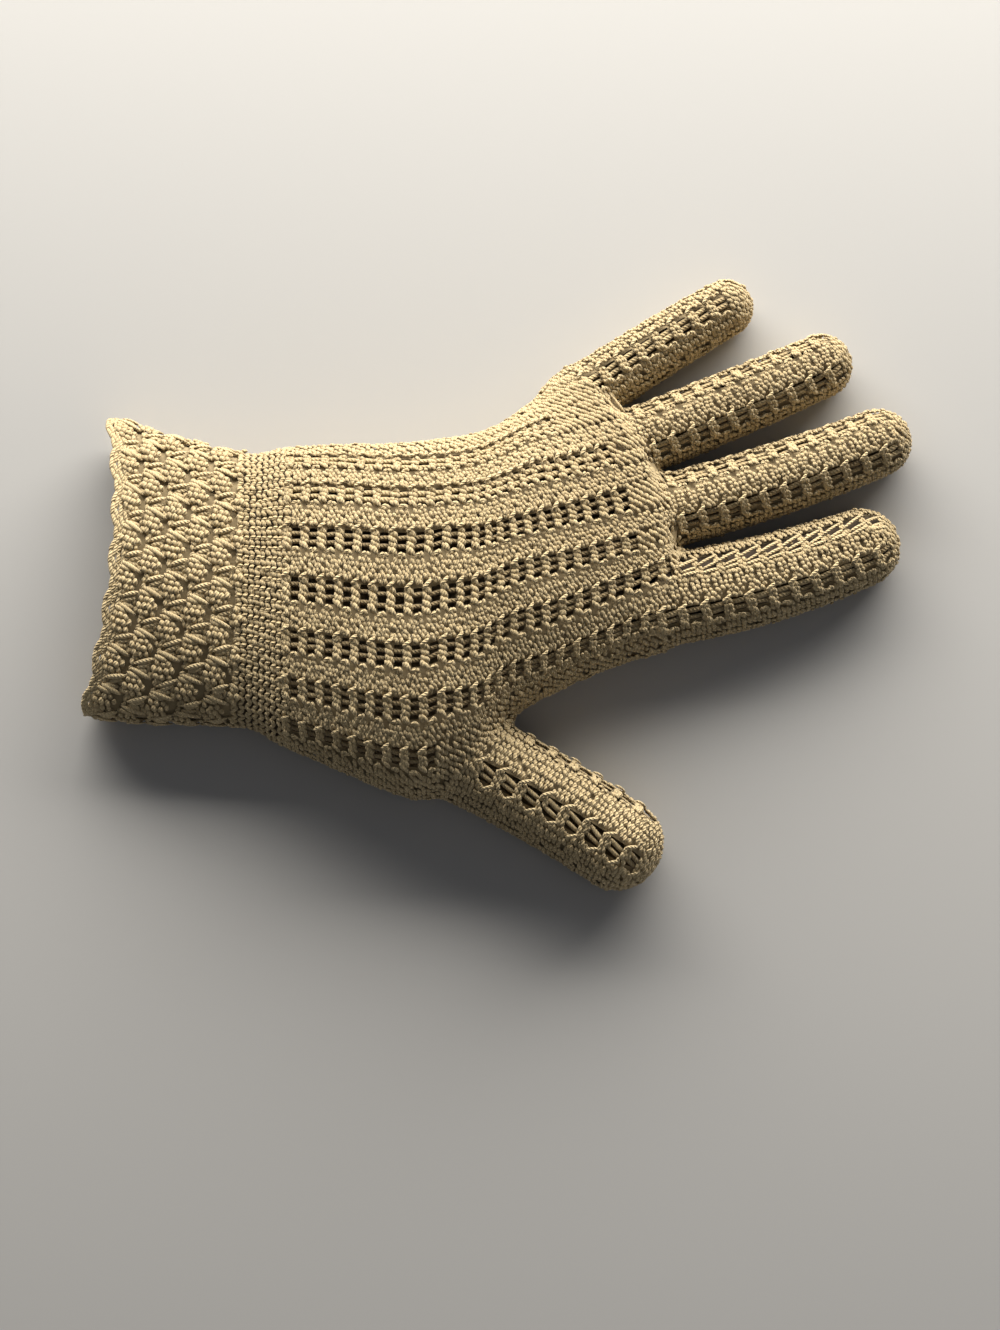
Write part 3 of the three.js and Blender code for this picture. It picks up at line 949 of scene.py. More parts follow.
class Layer:
    """Lays charted strokes of one tube on the form."""

    SHORTEST = 0.5
    LONGEST = 14.0
    OFF_LEVEL = 0.4

    def __init__(self, form: Form, tube: Tube, seed: int, unevenness: float = 0.13) -> None:
        """Starts a layer without strokes.

        Args:
            form: The form that it lies on.
            tube: The tube that it belongs to.
            seed: The seed of its unevenness.
            unevenness: How far the ends of its strokes stray.
        """
        self.form = form
        self.tube = tube
        self.unevenness = unevenness
        self.random = np.random.default_rng(seed)
        self.strokes = StrokeSet()
        self.clear: list[Array] = []

    def keep_clear(self, along: Array, angle: Array) -> None:
        """Marks places that no patch may cover."""
        self.clear.append(self.form.settle(self.tube.point(along, angle), YARN_LEVEL))

    def lay(self, overlap: float = 0.5) -> Laid:
        """The strokes in space, without those that belong to another tube.

        Args:
            overlap: How far strokes run past the border with another tube.

        Returns:
            The strokes.
        """
        along0, angle0, along1, angle1, width, lift, kind, tone = self.strokes.arrays()
        count = len(width)
        lift = lift + self.random.normal(0, 0.06, count)
        level = YARN_LEVEL + lift
        start = self.form.settle(self.tube.point(along0, angle0), level)
        end = self.form.settle(self.tube.point(along1, angle1), level)
        middle = (start + end) / 2
        normal = self.form.normal(middle)
        reach = np.linalg.norm(end - start, axis=1)
        keep = self.form.owner_gap(self.tube.name, middle) < overlap
        keep &= (reach > self.SHORTEST) & (reach < self.LONGEST)
        for points in (start, end):
            keep &= np.abs(self.form.sample(self.form.skin, points) - level) < self.OFF_LEVEL
        start += self.random.normal(0, self.unevenness, (count, 3))
        end += self.random.normal(0, self.unevenness, (count, 3))
        arch = np.array([YARN_SHAPES[k].arch for k in Kind])[kind.astype(int)]
        lowest = width * (0.55 + arch * np.maximum(-normal[:, 2], 0)) + 0.2
        start[:, 2] = np.maximum(start[:, 2], lowest)
        end[:, 2] = np.maximum(end[:, 2], lowest)
        width = width * self.random.normal(1, 0.05, count)
        tone = tone + self.random.normal(0, 0.12, count)
        return Laid(start, end, normal, width, kind, tone).pick(keep)


def slanted(
    layer: Layer,
    along: Callable[[Array], Array],
    lengths: Array,
    low: Callable[[float], float],
    high: Callable[[float], float],
    pitch: float = 1.9,
    lean: float = 0.42,
    skip: float = 0.03,
) -> None:
    """Fills a zone with the slanted stitches of the solid knitting.

    Args:
        layer: The layer that takes the strokes.
        along: Turns lengths in millimetres into the tube's own places.
        lengths: The lengths of the courses.
        low: The arc length at which the zone begins, at each length.
        high: The arc length at which it ends.
        pitch: Distance between stitches across the zone.
        lean: How far a stitch leans along the tube over its own length, to each side.
        skip: The share of stitches left out, which shows as small pits.
    """
    tube = layer.tube
    for i, length in enumerate(lengths):
        first, last = low(length), high(length)
        count = max(1, round((last - first) / pitch))
        if last - first < 0.6 * pitch:
            continue
        step = (last - first) / count
        middle = first + step * (np.arange(count) + 0.5 + (0.25 if i % 2 else -0.25))
        keep = layer.random.random(count) > skip
        middle = middle[keep]
        reach = min(1.0, 0.47 * step)
        a0 = np.full(len(middle), length - lean)
        a1 = np.full(len(middle), length + lean)
        angle0 = tube.angle_at(along(a0), middle - reach)
        angle1 = tube.angle_at(along(a1), middle + reach)
        lift = np.where((np.arange(count)[keep] + i) % 2, 0.14, -0.1)
        layer.strokes.add(along(a0), angle0, along(a1), angle1, 1.2, lift, Kind.OVAL, 0.0)


def vees(layer: Layer, along: Callable[[Array], Array], lengths: Array, wales: int) -> None:
    """Stockinette: columns of plump vees along the tube, over its upper side.

    Args:
        layer: The layer that takes the strokes.
        along: Turns lengths in millimetres into the tube's own places.
        lengths: The lengths of the courses.
        wales: The number of columns.
    """
    tube = layer.tube
    course = float(lengths[1] - lengths[0])
    for length in lengths:
        place = float(along(np.array([length]))[0])
        first, last = tube.arc(place, -SIDE_ANGLE), tube.arc(place, SIDE_ANGLE)
        wale = (last - first) / wales
        middle = first + wale * (np.arange(wales) + 0.5)
        for side in (-1, 1):
            outer, inner = middle + side * 0.5 * wale, middle + side * 0.04 * wale
            a0 = np.full(wales, length - 0.4 * course)
            a1 = np.full(wales, length + 0.36 * course)
            layer.strokes.add(
                along(a0), tube.angle_at(along(a0), outer),
                along(a1), tube.angle_at(along(a1), inner),
                1.25, 0.05, Kind.OVAL, 0.0,
            )


# The lace rows of the hand


@dataclass(frozen=True)
class LaceRows:
    """Where the seven lace rows of the hand run: their angle at some rows of the sleeve."""

    row: float
    angles: tuple[float, ...]


HAND_LACE_TABLE = (
    LaceRows(3.0, (-82, -59, -38, -17.5, 1, 20, 40, 62, 88)),
    LaceRows(6.2, (-78, -53.5, -37, -20.5, -1.5, 14, 31.5, 53, 80)),
    LaceRows(8.6, (-74, -51, -27, -6.5, 8, 28, 53, 70, 84)),
    LaceRows(10.0, (-68, -38, -14, 1, 15.5, 28, 54, 67, 82)),
)
# The cells of most lace rows and of the one that ends at the thumb, and how far past the wrist
# band they start
HAND_CELLS = 22
THUMB_ROW_CELLS = 9
HAND_LACE_START = 1.2


class HandChart:
    """The chart of the back of the hand: rows of lace cells that fan towards the fingers."""

    def __init__(self, sleeve: Sleeve) -> None:
        """Finds where the chart starts and ends.

        Args:
            sleeve: The sleeve that it lies on.
        """
        self.sleeve = sleeve
        self.start = sleeve.length_at(BAND_END)
        self.end = sleeve.length_at(sleeve.last)
        self._rows = np.array([r.row for r in HAND_LACE_TABLE])
        self._angles = np.radians([r.angles for r in HAND_LACE_TABLE])

    def row(self, length: Array) -> Array:
        """The sleeve row at a length past the wrist band."""
        return self.sleeve.row_at(self.start + np.asarray(length, float))

    def angle(self, row: Array, across: Array) -> Array:
        """The angle at a chart distance across, where lace row k is at (k - 4) repeats.

        Args:
            row: Rows of the sleeve.
            across: Distances across, in millimetres of the chart.

        Returns:
            The angles, in radians.
        """
        row, across = np.broadcast_arrays(np.asarray(row, float), np.asarray(across, float))
        place = np.clip(across / REPEAT + 4, 0, 8)
        angles = np.stack(
            [np.interp(row, self._rows, self._angles[:, k]) for k in range(9)], axis=-1
        )
        low = np.minimum(place.astype(int), 7)
        t = place - low
        a = np.take_along_axis(angles, low[..., None], axis=-1)[..., 0]
        b = np.take_along_axis(angles, low[..., None] + 1, axis=-1)[..., 0]
        return a * (1 - t) + b * t

    def cells(self, k: int) -> int:
        """How many lace cells a row has."""
        return {1: 19, 5: HAND_CELLS + 2, 6: HAND_CELLS + 2, 7: THUMB_ROW_CELLS}.get(k, HAND_CELLS)

    def cell_length(self, j: Array | int) -> Array:
        """The length past the wrist band of the middle of a cell."""
        return HAND_LACE_START + PITCH * (np.asarray(j, float) + 0.5)


def lay_chart(
    layer: Layer,
    chart: Chart,
    place: Callable[[Array, Array], tuple[Array, Array]],
    u_mid: Array,
    stretch: float = 1.0,
    spread: float = 1.0,
) -> None:
    """Repeats a chart at many cells.

    Args:
        layer: The layer that takes the strokes.
        chart: The strokes of one cell.
        place: Turns a length and a distance across into the tube's place and angle.
        u_mid: The length of the middle of each cell.
        stretch: How much longer than charted the cells are.
        spread: How much wider than charted they are.
    """
    for s in chart.strokes:
        along0, angle0 = place(u_mid + s.u0 * stretch, np.full(len(u_mid), s.w0 * spread))
        along1, angle1 = place(u_mid + s.u1 * stretch, np.full(len(u_mid), s.w1 * spread))
        layer.strokes.add(along0, angle0, along1, angle1, s.width, s.lift, int(s.kind), s.tone)
    for u, w in chart.clear:
        layer.keep_clear(*place(u_mid + u * stretch, np.full(len(u_mid), w * spread)))


@dataclass
class Patches:
    """Short strokes that close whatever the charts of all the tubes leave bare.

    reach is how far from any stroke a bare place starts, free how far from a place that has to
    stay open, lowest the height below which there are none, and spacing how far apart they lie.
    """

    form: Form
    reach: float = 1.08
    free: float = 1.0
    lowest: float = 1.7
    spacing: float = 1.35
    seed: int = 5

    def find(self, laid: Laid, clear: Array) -> None:
        """Finds the bare places between all the strokes.

        Args:
            laid: All the strokes of the glove.
            clear: The points that stay open.
        """
        points = self.form.spread(YARN_LEVEL)
        normal = self.form.normal(points)
        points = points[(points[:, 2] > self.lowest) & (normal[:, 2] > -0.7)]
        lines = [laid.start * (1 - t) + laid.end * t for t in (0.05, 0.35, 0.65, 0.95)]
        points = points[self._away(points, np.concatenate(lines), self.reach)]
        points = points[self._away(points, clear, self.free)]
        kept: list[int] = []
        open_ = np.ones(len(points), bool)
        for i in range(len(points)):
            if open_[i]:
                kept.append(i)
                open_ &= np.linalg.norm(points - points[i], axis=1) > self.spacing
        self.points = points[kept]
        self.owners = self.form.owner(self.points)

    @staticmethod
    def _away(points: Array, others: Array, reach: float) -> Array:
        """Which points lie farther than a reach from all the others.

        Args:
            points: The points.
            others: The others.
            reach: The distance.

        Returns:
            True for each such point.
        """
        tree = KDTree(len(others))
        for i, other in enumerate(others.tolist()):
            tree.insert(other, i)
        tree.balance()
        return np.array([tree.find(p)[2] > reach for p in points.tolist()], bool)

    def strokes(self, tube: Tube, first: float, last: float) -> Laid:
        """The patches of one tube.

        Args:
            tube: The tube.
            first: Where along the tube they start.
            last: Where along it they end.

        Returns:
            The strokes, slanted like the rest.
        """
        points = self.points[self.owners == tube.name]
        along = tube.locate(points[:, 0], points[:, 1])[0]
        inside = (along >= first) & (along < last)
        points, along = points[inside], along[inside]
        normal = self.form.normal(points)
        ahead = np.concatenate([tube.sections(along).forward, np.zeros((len(along), 1))], axis=1)
        ahead = unit(ahead - normal * (ahead * normal).sum(-1, keepdims=True))
        step = ahead * 0.4 + np.cross(ahead, normal) * 0.75
        random = np.random.default_rng(self.seed)
        count = len(points)
        return Laid(
            points - step, points + step, normal, np.full(count, 1.2),
            np.full(count, int(Kind.OVAL)), random.normal(0, 0.12, count),
        )


# Yarn


class NodeSheet:
    """Short ways to add and link nodes in a tree."""

    def __init__(self, tree: bpy.types.NodeTree) -> None:
        """Takes the tree that it works on."""
        self.tree = tree

    def add(self, kind: str, **settings: object) -> bpy.types.Node:
        """Adds a node and sets its properties.

        Args:
            kind: The node's type.
            settings: Its properties.

        Returns:
            The node.
        """
        node = self.tree.nodes.new(kind)
        for name, value in settings.items():
            setattr(node, name, value)
        return node

    def link(self, source: Socket, target: Socket) -> None:
        """Links two sockets."""
        self.tree.links.new(source, target)

    def math(self, operation: str, *inputs: object) -> Socket:
        """A math node on numbers or sockets. It serves in geometry and shader trees.

        Args:
            operation: The operation.
            inputs: Numbers or sockets.

        Returns:
            The result.
        """
        node = self.add("ShaderNodeMath", operation=operation)
        for socket, value in zip(node.inputs, inputs, strict=False):
            if isinstance(value, Socket):
                self.link(value, socket)
            else:
                socket.default_value = float(value)
        return node.outputs[0]

    def attribute(self, name: str) -> Socket:
        """The value of an attribute, in a shader tree."""
        return self.add("ShaderNodeAttribute", attribute_name=name).outputs["Fac"]

    def blend(self, amount: Socket, low: object, high: object) -> Socket:
        """A mix of two colours, in a shader tree.

        Args:
            amount: How much there is of the second.
            low: The first, as a colour or a socket.
            high: The second.

        Returns:
            The mixed colour.
        """
        node = self.add("ShaderNodeMix", data_type="RGBA")
        self.link(amount, node.inputs[0])
        for socket, value in ((node.inputs[6], low), (node.inputs[7], high)):
            if isinstance(value, Socket):
                self.link(value, socket)
            else:
                socket.default_value = (*value, 1.0)
        return node.outputs[2]


class YarnTree:
    """The Geometry Nodes that set a plied length of yarn at every point of a mesh."""

    def __init__(self) -> None:
        """Names the tree's inputs and builds it."""
        self.tree = bpy.data.node_groups.new("yarn strokes", "GeometryNodeTree")
        for name, kind in (
            ("Points", "Geometry"), ("Sides", "Int"), ("Thickness", "Float"),
            ("Finish", "Material"),
        ):
            self.tree.interface.new_socket(name, in_out="INPUT", socket_type="NodeSocket" + kind)
        self.tree.interface.new_socket("Yarn", in_out="OUTPUT", socket_type="NodeSocketGeometry")
        self.sheet = NodeSheet(self.tree)
        self._build()

    def identifier(self, name: str) -> str:
        """The identifier of a named input."""
        return next(
            item.identifier for item in self.tree.interface.items_tree if item.name == name
        )

    def _build(self) -> None:
        """Links the points, the three shapes, the instances and the finish."""
        sheet = self.sheet
        self.enter = sheet.add("NodeGroupInput")
        leave = sheet.add("NodeGroupOutput")
        to_points = sheet.add("GeometryNodeMeshToPoints")
        sheet.link(self.enter.outputs["Points"], to_points.inputs["Mesh"])
        thin = sheet.add("ShaderNodeCombineXYZ")
        thin.inputs[0].default_value = thin.inputs[1].default_value = 1.0
        sheet.link(self.enter.outputs["Thickness"], thin.inputs[2])
        size = sheet.add("ShaderNodeVectorMath", operation="MULTIPLY")
        sheet.link(self._named("size", "FLOAT_VECTOR"), size.inputs[0])
        sheet.link(thin.outputs[0], size.inputs[1])
        gather = sheet.add("GeometryNodeJoinGeometry")
        for kind, shape in YARN_SHAPES.items():
            here = sheet.add("FunctionNodeCompare", data_type="INT", operation="EQUAL")
            sheet.link(self._named("kind", "INT"), here.inputs[2])
            here.inputs[3].default_value = int(kind)
            place = sheet.add("GeometryNodeInstanceOnPoints")
            sheet.link(to_points.outputs[0], place.inputs["Points"])
            sheet.link(here.outputs[0], place.inputs["Selection"])
            sheet.link(self._shape(shape), place.inputs["Instance"])
            sheet.link(self._named("turn", "QUATERNION"), place.inputs["Rotation"])
            sheet.link(size.outputs[0], place.inputs["Scale"])
            sheet.link(place.outputs[0], gather.inputs[0])
        real = sheet.add("GeometryNodeRealizeInstances")
        sheet.link(gather.outputs[0], real.inputs[0])
        finish = sheet.add("GeometryNodeSetMaterial")
        sheet.link(real.outputs[0], finish.inputs["Geometry"])
        sheet.link(self.enter.outputs["Finish"], finish.inputs["Material"])
        sheet.link(finish.outputs[0], leave.inputs[0])

    def _named(self, name: str, kind: str) -> Socket:
        """Reads an attribute of the points."""
        node = self.sheet.add("GeometryNodeInputNamedAttribute", data_type=kind)
        node.inputs["Name"].default_value = name
        return next(s for s in node.outputs if s.enabled and s.name == "Attribute")

    def _shape(self, shape: YarnShape) -> Socket:
        """A tube along X, thinner at its ends and arched over its length.

        Args:
            shape: Its rings, ends and arch.

        Returns:
            The tube's geometry.
        """
        sheet = self.sheet
        tube = sheet.add("GeometryNodeMeshCylinder", fill_type="NGON")
        sheet.link(self.enter.outputs["Sides"], tube.inputs["Vertices"])
        tube.inputs["Side Segments"].default_value = shape.rings
        tube.inputs["Radius"].default_value = 0.5
        tube.inputs["Depth"].default_value = 1.0
        place = sheet.add("GeometryNodeInputPosition")
        split = sheet.add("ShaderNodeSeparateXYZ")
        sheet.link(place.outputs[0], split.inputs[0])
        reach = sheet.math("MULTIPLY", split.outputs[2], 2.0)
        edge = sheet.math("POWER", sheet.math("ABSOLUTE", reach), shape.power)
        radius = sheet.math("SUBTRACT", 1.0, sheet.math("MULTIPLY", edge, 1 - shape.end))
        rise = sheet.math(
            "MULTIPLY", sheet.math("SUBTRACT", 1.0, sheet.math("POWER", reach, 2.0)), shape.arch
        )
        side = sheet.math("MULTIPLY", split.outputs[0], radius)
        over = sheet.math("ADD", sheet.math("MULTIPLY", split.outputs[1], radius), rise)
        spot = sheet.add("ShaderNodeCombineXYZ")
        sheet.link(split.outputs[2], spot.inputs[0])
        sheet.link(side, spot.inputs[1])
        sheet.link(over, spot.inputs[2])
        last = tube.outputs["Mesh"]
        # over lets the material paint shade down each stroke's sides and underside.
        for name, value in (("along", split.outputs[2]), ("side", split.outputs[0]),
                            ("over", split.outputs[1])):
            store = sheet.add("GeometryNodeStoreNamedAttribute", data_type="FLOAT", domain="POINT")
            store.inputs["Name"].default_value = name
            sheet.link(last, store.inputs["Geometry"])
            sheet.link(value, store.inputs["Value"])
            last = store.outputs[0]
        move = sheet.add("GeometryNodeSetPosition")
        sheet.link(last, move.inputs["Geometry"])
        sheet.link(spot.outputs[0], move.inputs["Position"])
        smooth = sheet.add("GeometryNodeSetShadeSmooth")
        sheet.link(move.outputs[0], smooth.inputs["Geometry"])
        return smooth.outputs[0]


@dataclass
class PlanFrame:
    """Turns plan millimetres into the row frame in metres."""

    shift: Array

    @staticmethod
    def from_cad(sleeve: Sleeve) -> "PlanFrame":
        """Finds the shift from where the CAD wrist band lies.

        Args:
            sleeve: The sleeve in the plan.

        Returns:
            The frame of the plan.
        """
        low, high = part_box("wrist_band")
        rows = np.array([CUFF_END + 0.01, BAND_END - 0.01])
        angles = np.radians(np.arange(0, 360, 0.5))
        points = sleeve.point(rows[:, None], angles[None, :]).reshape(-1, 3)
        turned = PlanFrame(np.zeros(3)).to_row(points) / MM
        middle = (turned.min(0) + turned.max(0)) / 2
        cad = np.array([(low[k] + high[k]) / 2 for k in range(3)]) / MM
        shift = cad - middle
        shift[2] = 0.0
        return PlanFrame(shift)

    def to_row(self, points: Array) -> Array:
        """Points in the row frame, in metres."""
        return (self.turn(points) + self.shift) * MM

    @staticmethod
    def turn(vectors: Array) -> Array:
        """Directions turned from the plan into the row frame."""
        c, s = math.cos(PLAN_TURN), math.sin(PLAN_TURN)
        x, y = vectors[..., 0], vectors[..., 1]
        return np.stack([c * x - s * y, s * x + c * y, vectors[..., 2]], axis=-1)


def quaternions(x: Array, y: Array, z: Array) -> Array:
    """Quaternions (w, x, y, z) of frames."""
    frames = np.stack([x, y, z], axis=-1).tolist()
    return np.array([Matrix(axes).to_quaternion()[:] for axes in frames])


class Yarn:
    """Turns laid strokes into meshes."""

    def __init__(self, plan: PlanFrame, finish: bpy.types.Material) -> None:
        """Builds the node tree."""
        self.plan = plan
        self.tree = YarnTree()
        self.inputs = {"Sides": YARN_SIDES, "Thickness": YARN_THICKNESS, "Finish": finish}

    def mesh(self, name: str, laid: Laid) -> bpy.types.Mesh:
        """The mesh of all the strokes, made by the node tree and kept without it.

        Args:
            name: The mesh's name.
            laid: The strokes.

        Returns:
            The mesh.
        """
        reach = laid.end - laid.start
        length = np.linalg.norm(reach, axis=1)
        x = unit(self.plan.turn(reach))
        up = self.plan.turn(laid.normal)
        z = unit(up - x * (up * x).sum(-1, keepdims=True))
        y = np.cross(z, x)
        middle = self.plan.to_row((laid.start + laid.end) / 2)
        points = bpy.data.meshes.new(name + "_points")
        points.from_pydata(middle.tolist(), [], [])
        size = np.stack([length + laid.width * 0.25, laid.width, laid.width], axis=-1) * MM
        for key, kind, prop, values in (
            ("turn", "QUATERNION", "value", quaternions(x, y, z)),
            ("size", "FLOAT_VECTOR", "vector", size),
            ("kind", "INT", "value", laid.kind.astype(np.int32)),
            ("tone", "FLOAT", "value", laid.tone),
            ("reach", "FLOAT", "value", length),
        ):
            attribute = points.attributes.new(key, kind, "POINT")
            attribute.data.foreach_set(prop, np.ascontiguousarray(values).ravel())
        holder = bpy.data.objects.new(name + "_points", points)
        bpy.context.collection.objects.link(holder)
        modifier = holder.modifiers.new("yarn", "NODES")
        modifier.node_group = self.tree.tree
        for key, value in self.inputs.items():
            modifier[self.tree.identifier(key)] = value
        graph = bpy.context.evaluated_depsgraph_get()
        made = bpy.data.meshes.new_from_object(holder.evaluated_get(graph))
        made.name = name
        bpy.data.objects.remove(holder)
        bpy.data.meshes.remove(points)
        return made


# Materials


@dataclass(frozen=True)
class CottonFinish:
    """The look of the cotton yarn. Colours are linear."""

    light: Triple = (0.7, 0.555, 0.32)
    middle: Triple = (0.6, 0.465, 0.26)
    dull: Triple = (0.47, 0.355, 0.185)
    # deep is painted shade: the yarn darkens to it down its sides, underneath, and on sunken
    # rungs.
    deep: Triple = (0.13, 0.085, 0.045)
    # hollow is painted shade: the darkest ground, behind the strokes and on the inner faces.
    hollow: Triple = (0.035, 0.022, 0.012)
    roughness: float = 0.85
    specular: float = 0.25
    sheen: float = 0.25
    sheen_roughness: float = 0.5
    sheen_tint: Triple = (1.0, 0.93, 0.78)
    patch_scale: float = 38.0
    fibre_scale: float = 1500.0
    bump: float = 0.55
    bump_depth: float = 0.00025
    ply_pitch: float = 2.6
    plies: float = 3.0


class CottonMaterials:
    """The yarn material, and the material of the ground and the sole."""

    def __init__(self, finish: CottonFinish) -> None:
        """Makes both materials."""
        self.finish = finish
        self.yarn = self._make("cotton yarn", self._dress_yarn)
        self.ground = self._make("cotton ground", self._dress_ground)

    def _make(
        self, name: str, dress: Callable[[NodeSheet, Socket, Socket], tuple[Socket, Socket]]
    ) -> bpy.types.Material:
        """Makes one material.

        Args:
            name: The material's name.
            dress: Gives the colour and the relief, from a slow and a fine noise.

        Returns:
            The material.
        """
        finish = self.finish
        material = bpy.data.materials.new(name)
        material.use_nodes = True
        material.node_tree.nodes.clear()
        sheet = NodeSheet(material.node_tree)
        out = sheet.add("ShaderNodeOutputMaterial")
        shader = sheet.add("ShaderNodeBsdfPrincipled")
        sheet.link(shader.outputs[0], out.inputs[0])
        for socket, value in (
            ("Roughness", finish.roughness),
            ("Specular IOR Level", finish.specular),
            ("Sheen Weight", finish.sheen),
            ("Sheen Roughness", finish.sheen_roughness),
            ("Sheen Tint", (*finish.sheen_tint, 1.0)),
        ):
            shader.inputs[socket].default_value = value
        place = sheet.add("ShaderNodeTexCoord").outputs["Object"]
        patches = self._noise(sheet, place, finish.patch_scale, 3.0)
        fibres = self._noise(sheet, place, finish.fibre_scale, 2.0)
        colour, relief = dress(sheet, patches, fibres)
        sheet.link(colour, shader.inputs["Base Color"])
        bump = sheet.add("ShaderNodeBump")
        bump.inputs["Strength"].default_value = finish.bump
        bump.inputs["Distance"].default_value = finish.bump_depth
        sheet.link(relief, bump.inputs["Height"])
        sheet.link(bump.outputs[0], shader.inputs["Normal"])
        return material

    def _dress_yarn(
        self, sheet: NodeSheet, patches: Socket, fibres: Socket
    ) -> tuple[Socket, Socket]:
        """Plied yarn, lighter with its tone, with painted shade down its sides and underneath, on
        sunken strokes and in the grooves between its plies.

        Args:
            sheet: The material's nodes.
            patches: A slow noise.
            fibres: A fine noise.

        Returns:
            The colour and the relief.
        """
        finish = self.finish
        tone, over = sheet.attribute("tone"), sheet.attribute("over")
        height = self._plies(sheet)
        amount = sheet.math("ADD", sheet.math("MULTIPLY", patches, 0.9), 0.12)
        amount = sheet.math("ADD", amount, sheet.math("MULTIPLY", tone, 0.7))
        # The crests of the plies are painted lighter and their grooves darker: painted shade
        # between the plies.
        amount = sheet.math("ADD", amount, sheet.math("MULTIPLY", height, 0.22))
        # Painted shade on strokes of low tone, such as the sunken rungs.
        sunk = sheet.math("MINIMUM", sheet.math("ADD", tone, 0.3), 0.0)
        # Painted shade down the sides and underside of every stroke.
        shade = sheet.math("ADD", sheet.math("MULTIPLY", over, 1.15), 0.82)
        shade = sheet.math("ADD", shade, sheet.math("MULTIPLY", sunk, 1.2))
        colour = sheet.blend(shade, finish.deep, sheet.blend(amount, finish.dull, finish.light))
        return colour, sheet.math("ADD", height, sheet.math("MULTIPLY", fibres, 0.6))

    def _dress_ground(
        self, sheet: NodeSheet, patches: Socket, fibres: Socket
    ) -> tuple[Socket, Socket]:
        """Plain cotton, painted from near black up to mid tone as its attribute says: painted
        shade behind the strokes and inside the wall.
        """
        amount = sheet.math("ADD", sheet.math("MULTIPLY", patches, 0.3), sheet.attribute("worn"))
        return sheet.blend(amount, self.finish.hollow, self.finish.middle), fibres

    @staticmethod
    def _noise(sheet: NodeSheet, place: Socket, scale: float, detail: float) -> Socket:
        """Noise over the object.

        Args:
            sheet: The material's nodes.
            place: The object's coordinates.
            scale: How fine it is.
            detail: How many finer layers it has.

        Returns:
            Its value.
        """
        noise = sheet.add("ShaderNodeTexNoise")
        noise.inputs["Scale"].default_value = scale
        noise.inputs["Detail"].default_value = detail
        sheet.link(place, noise.inputs["Vector"])
        return noise.outputs[0]

    def _plies(self, sheet: NodeSheet) -> Socket:
        """The height of the twisted plies, from -1 to 1.

        Args:
            sheet: The material's nodes.

        Returns:
            The height.
        """
        finish = self.finish
        around = sheet.math("ARCTAN2", sheet.attribute("side"), sheet.attribute("over"))
        around = sheet.math("MULTIPLY", around, finish.plies)
        twist = sheet.math("MULTIPLY", sheet.attribute("along"), sheet.attribute("reach"))
        twist = sheet.math("MULTIPLY", twist, 2 * math.pi * finish.plies / finish.ply_pitch)
        return sheet.math("SINE", sheet.math("ADD", around, twist))


# Ground and sole


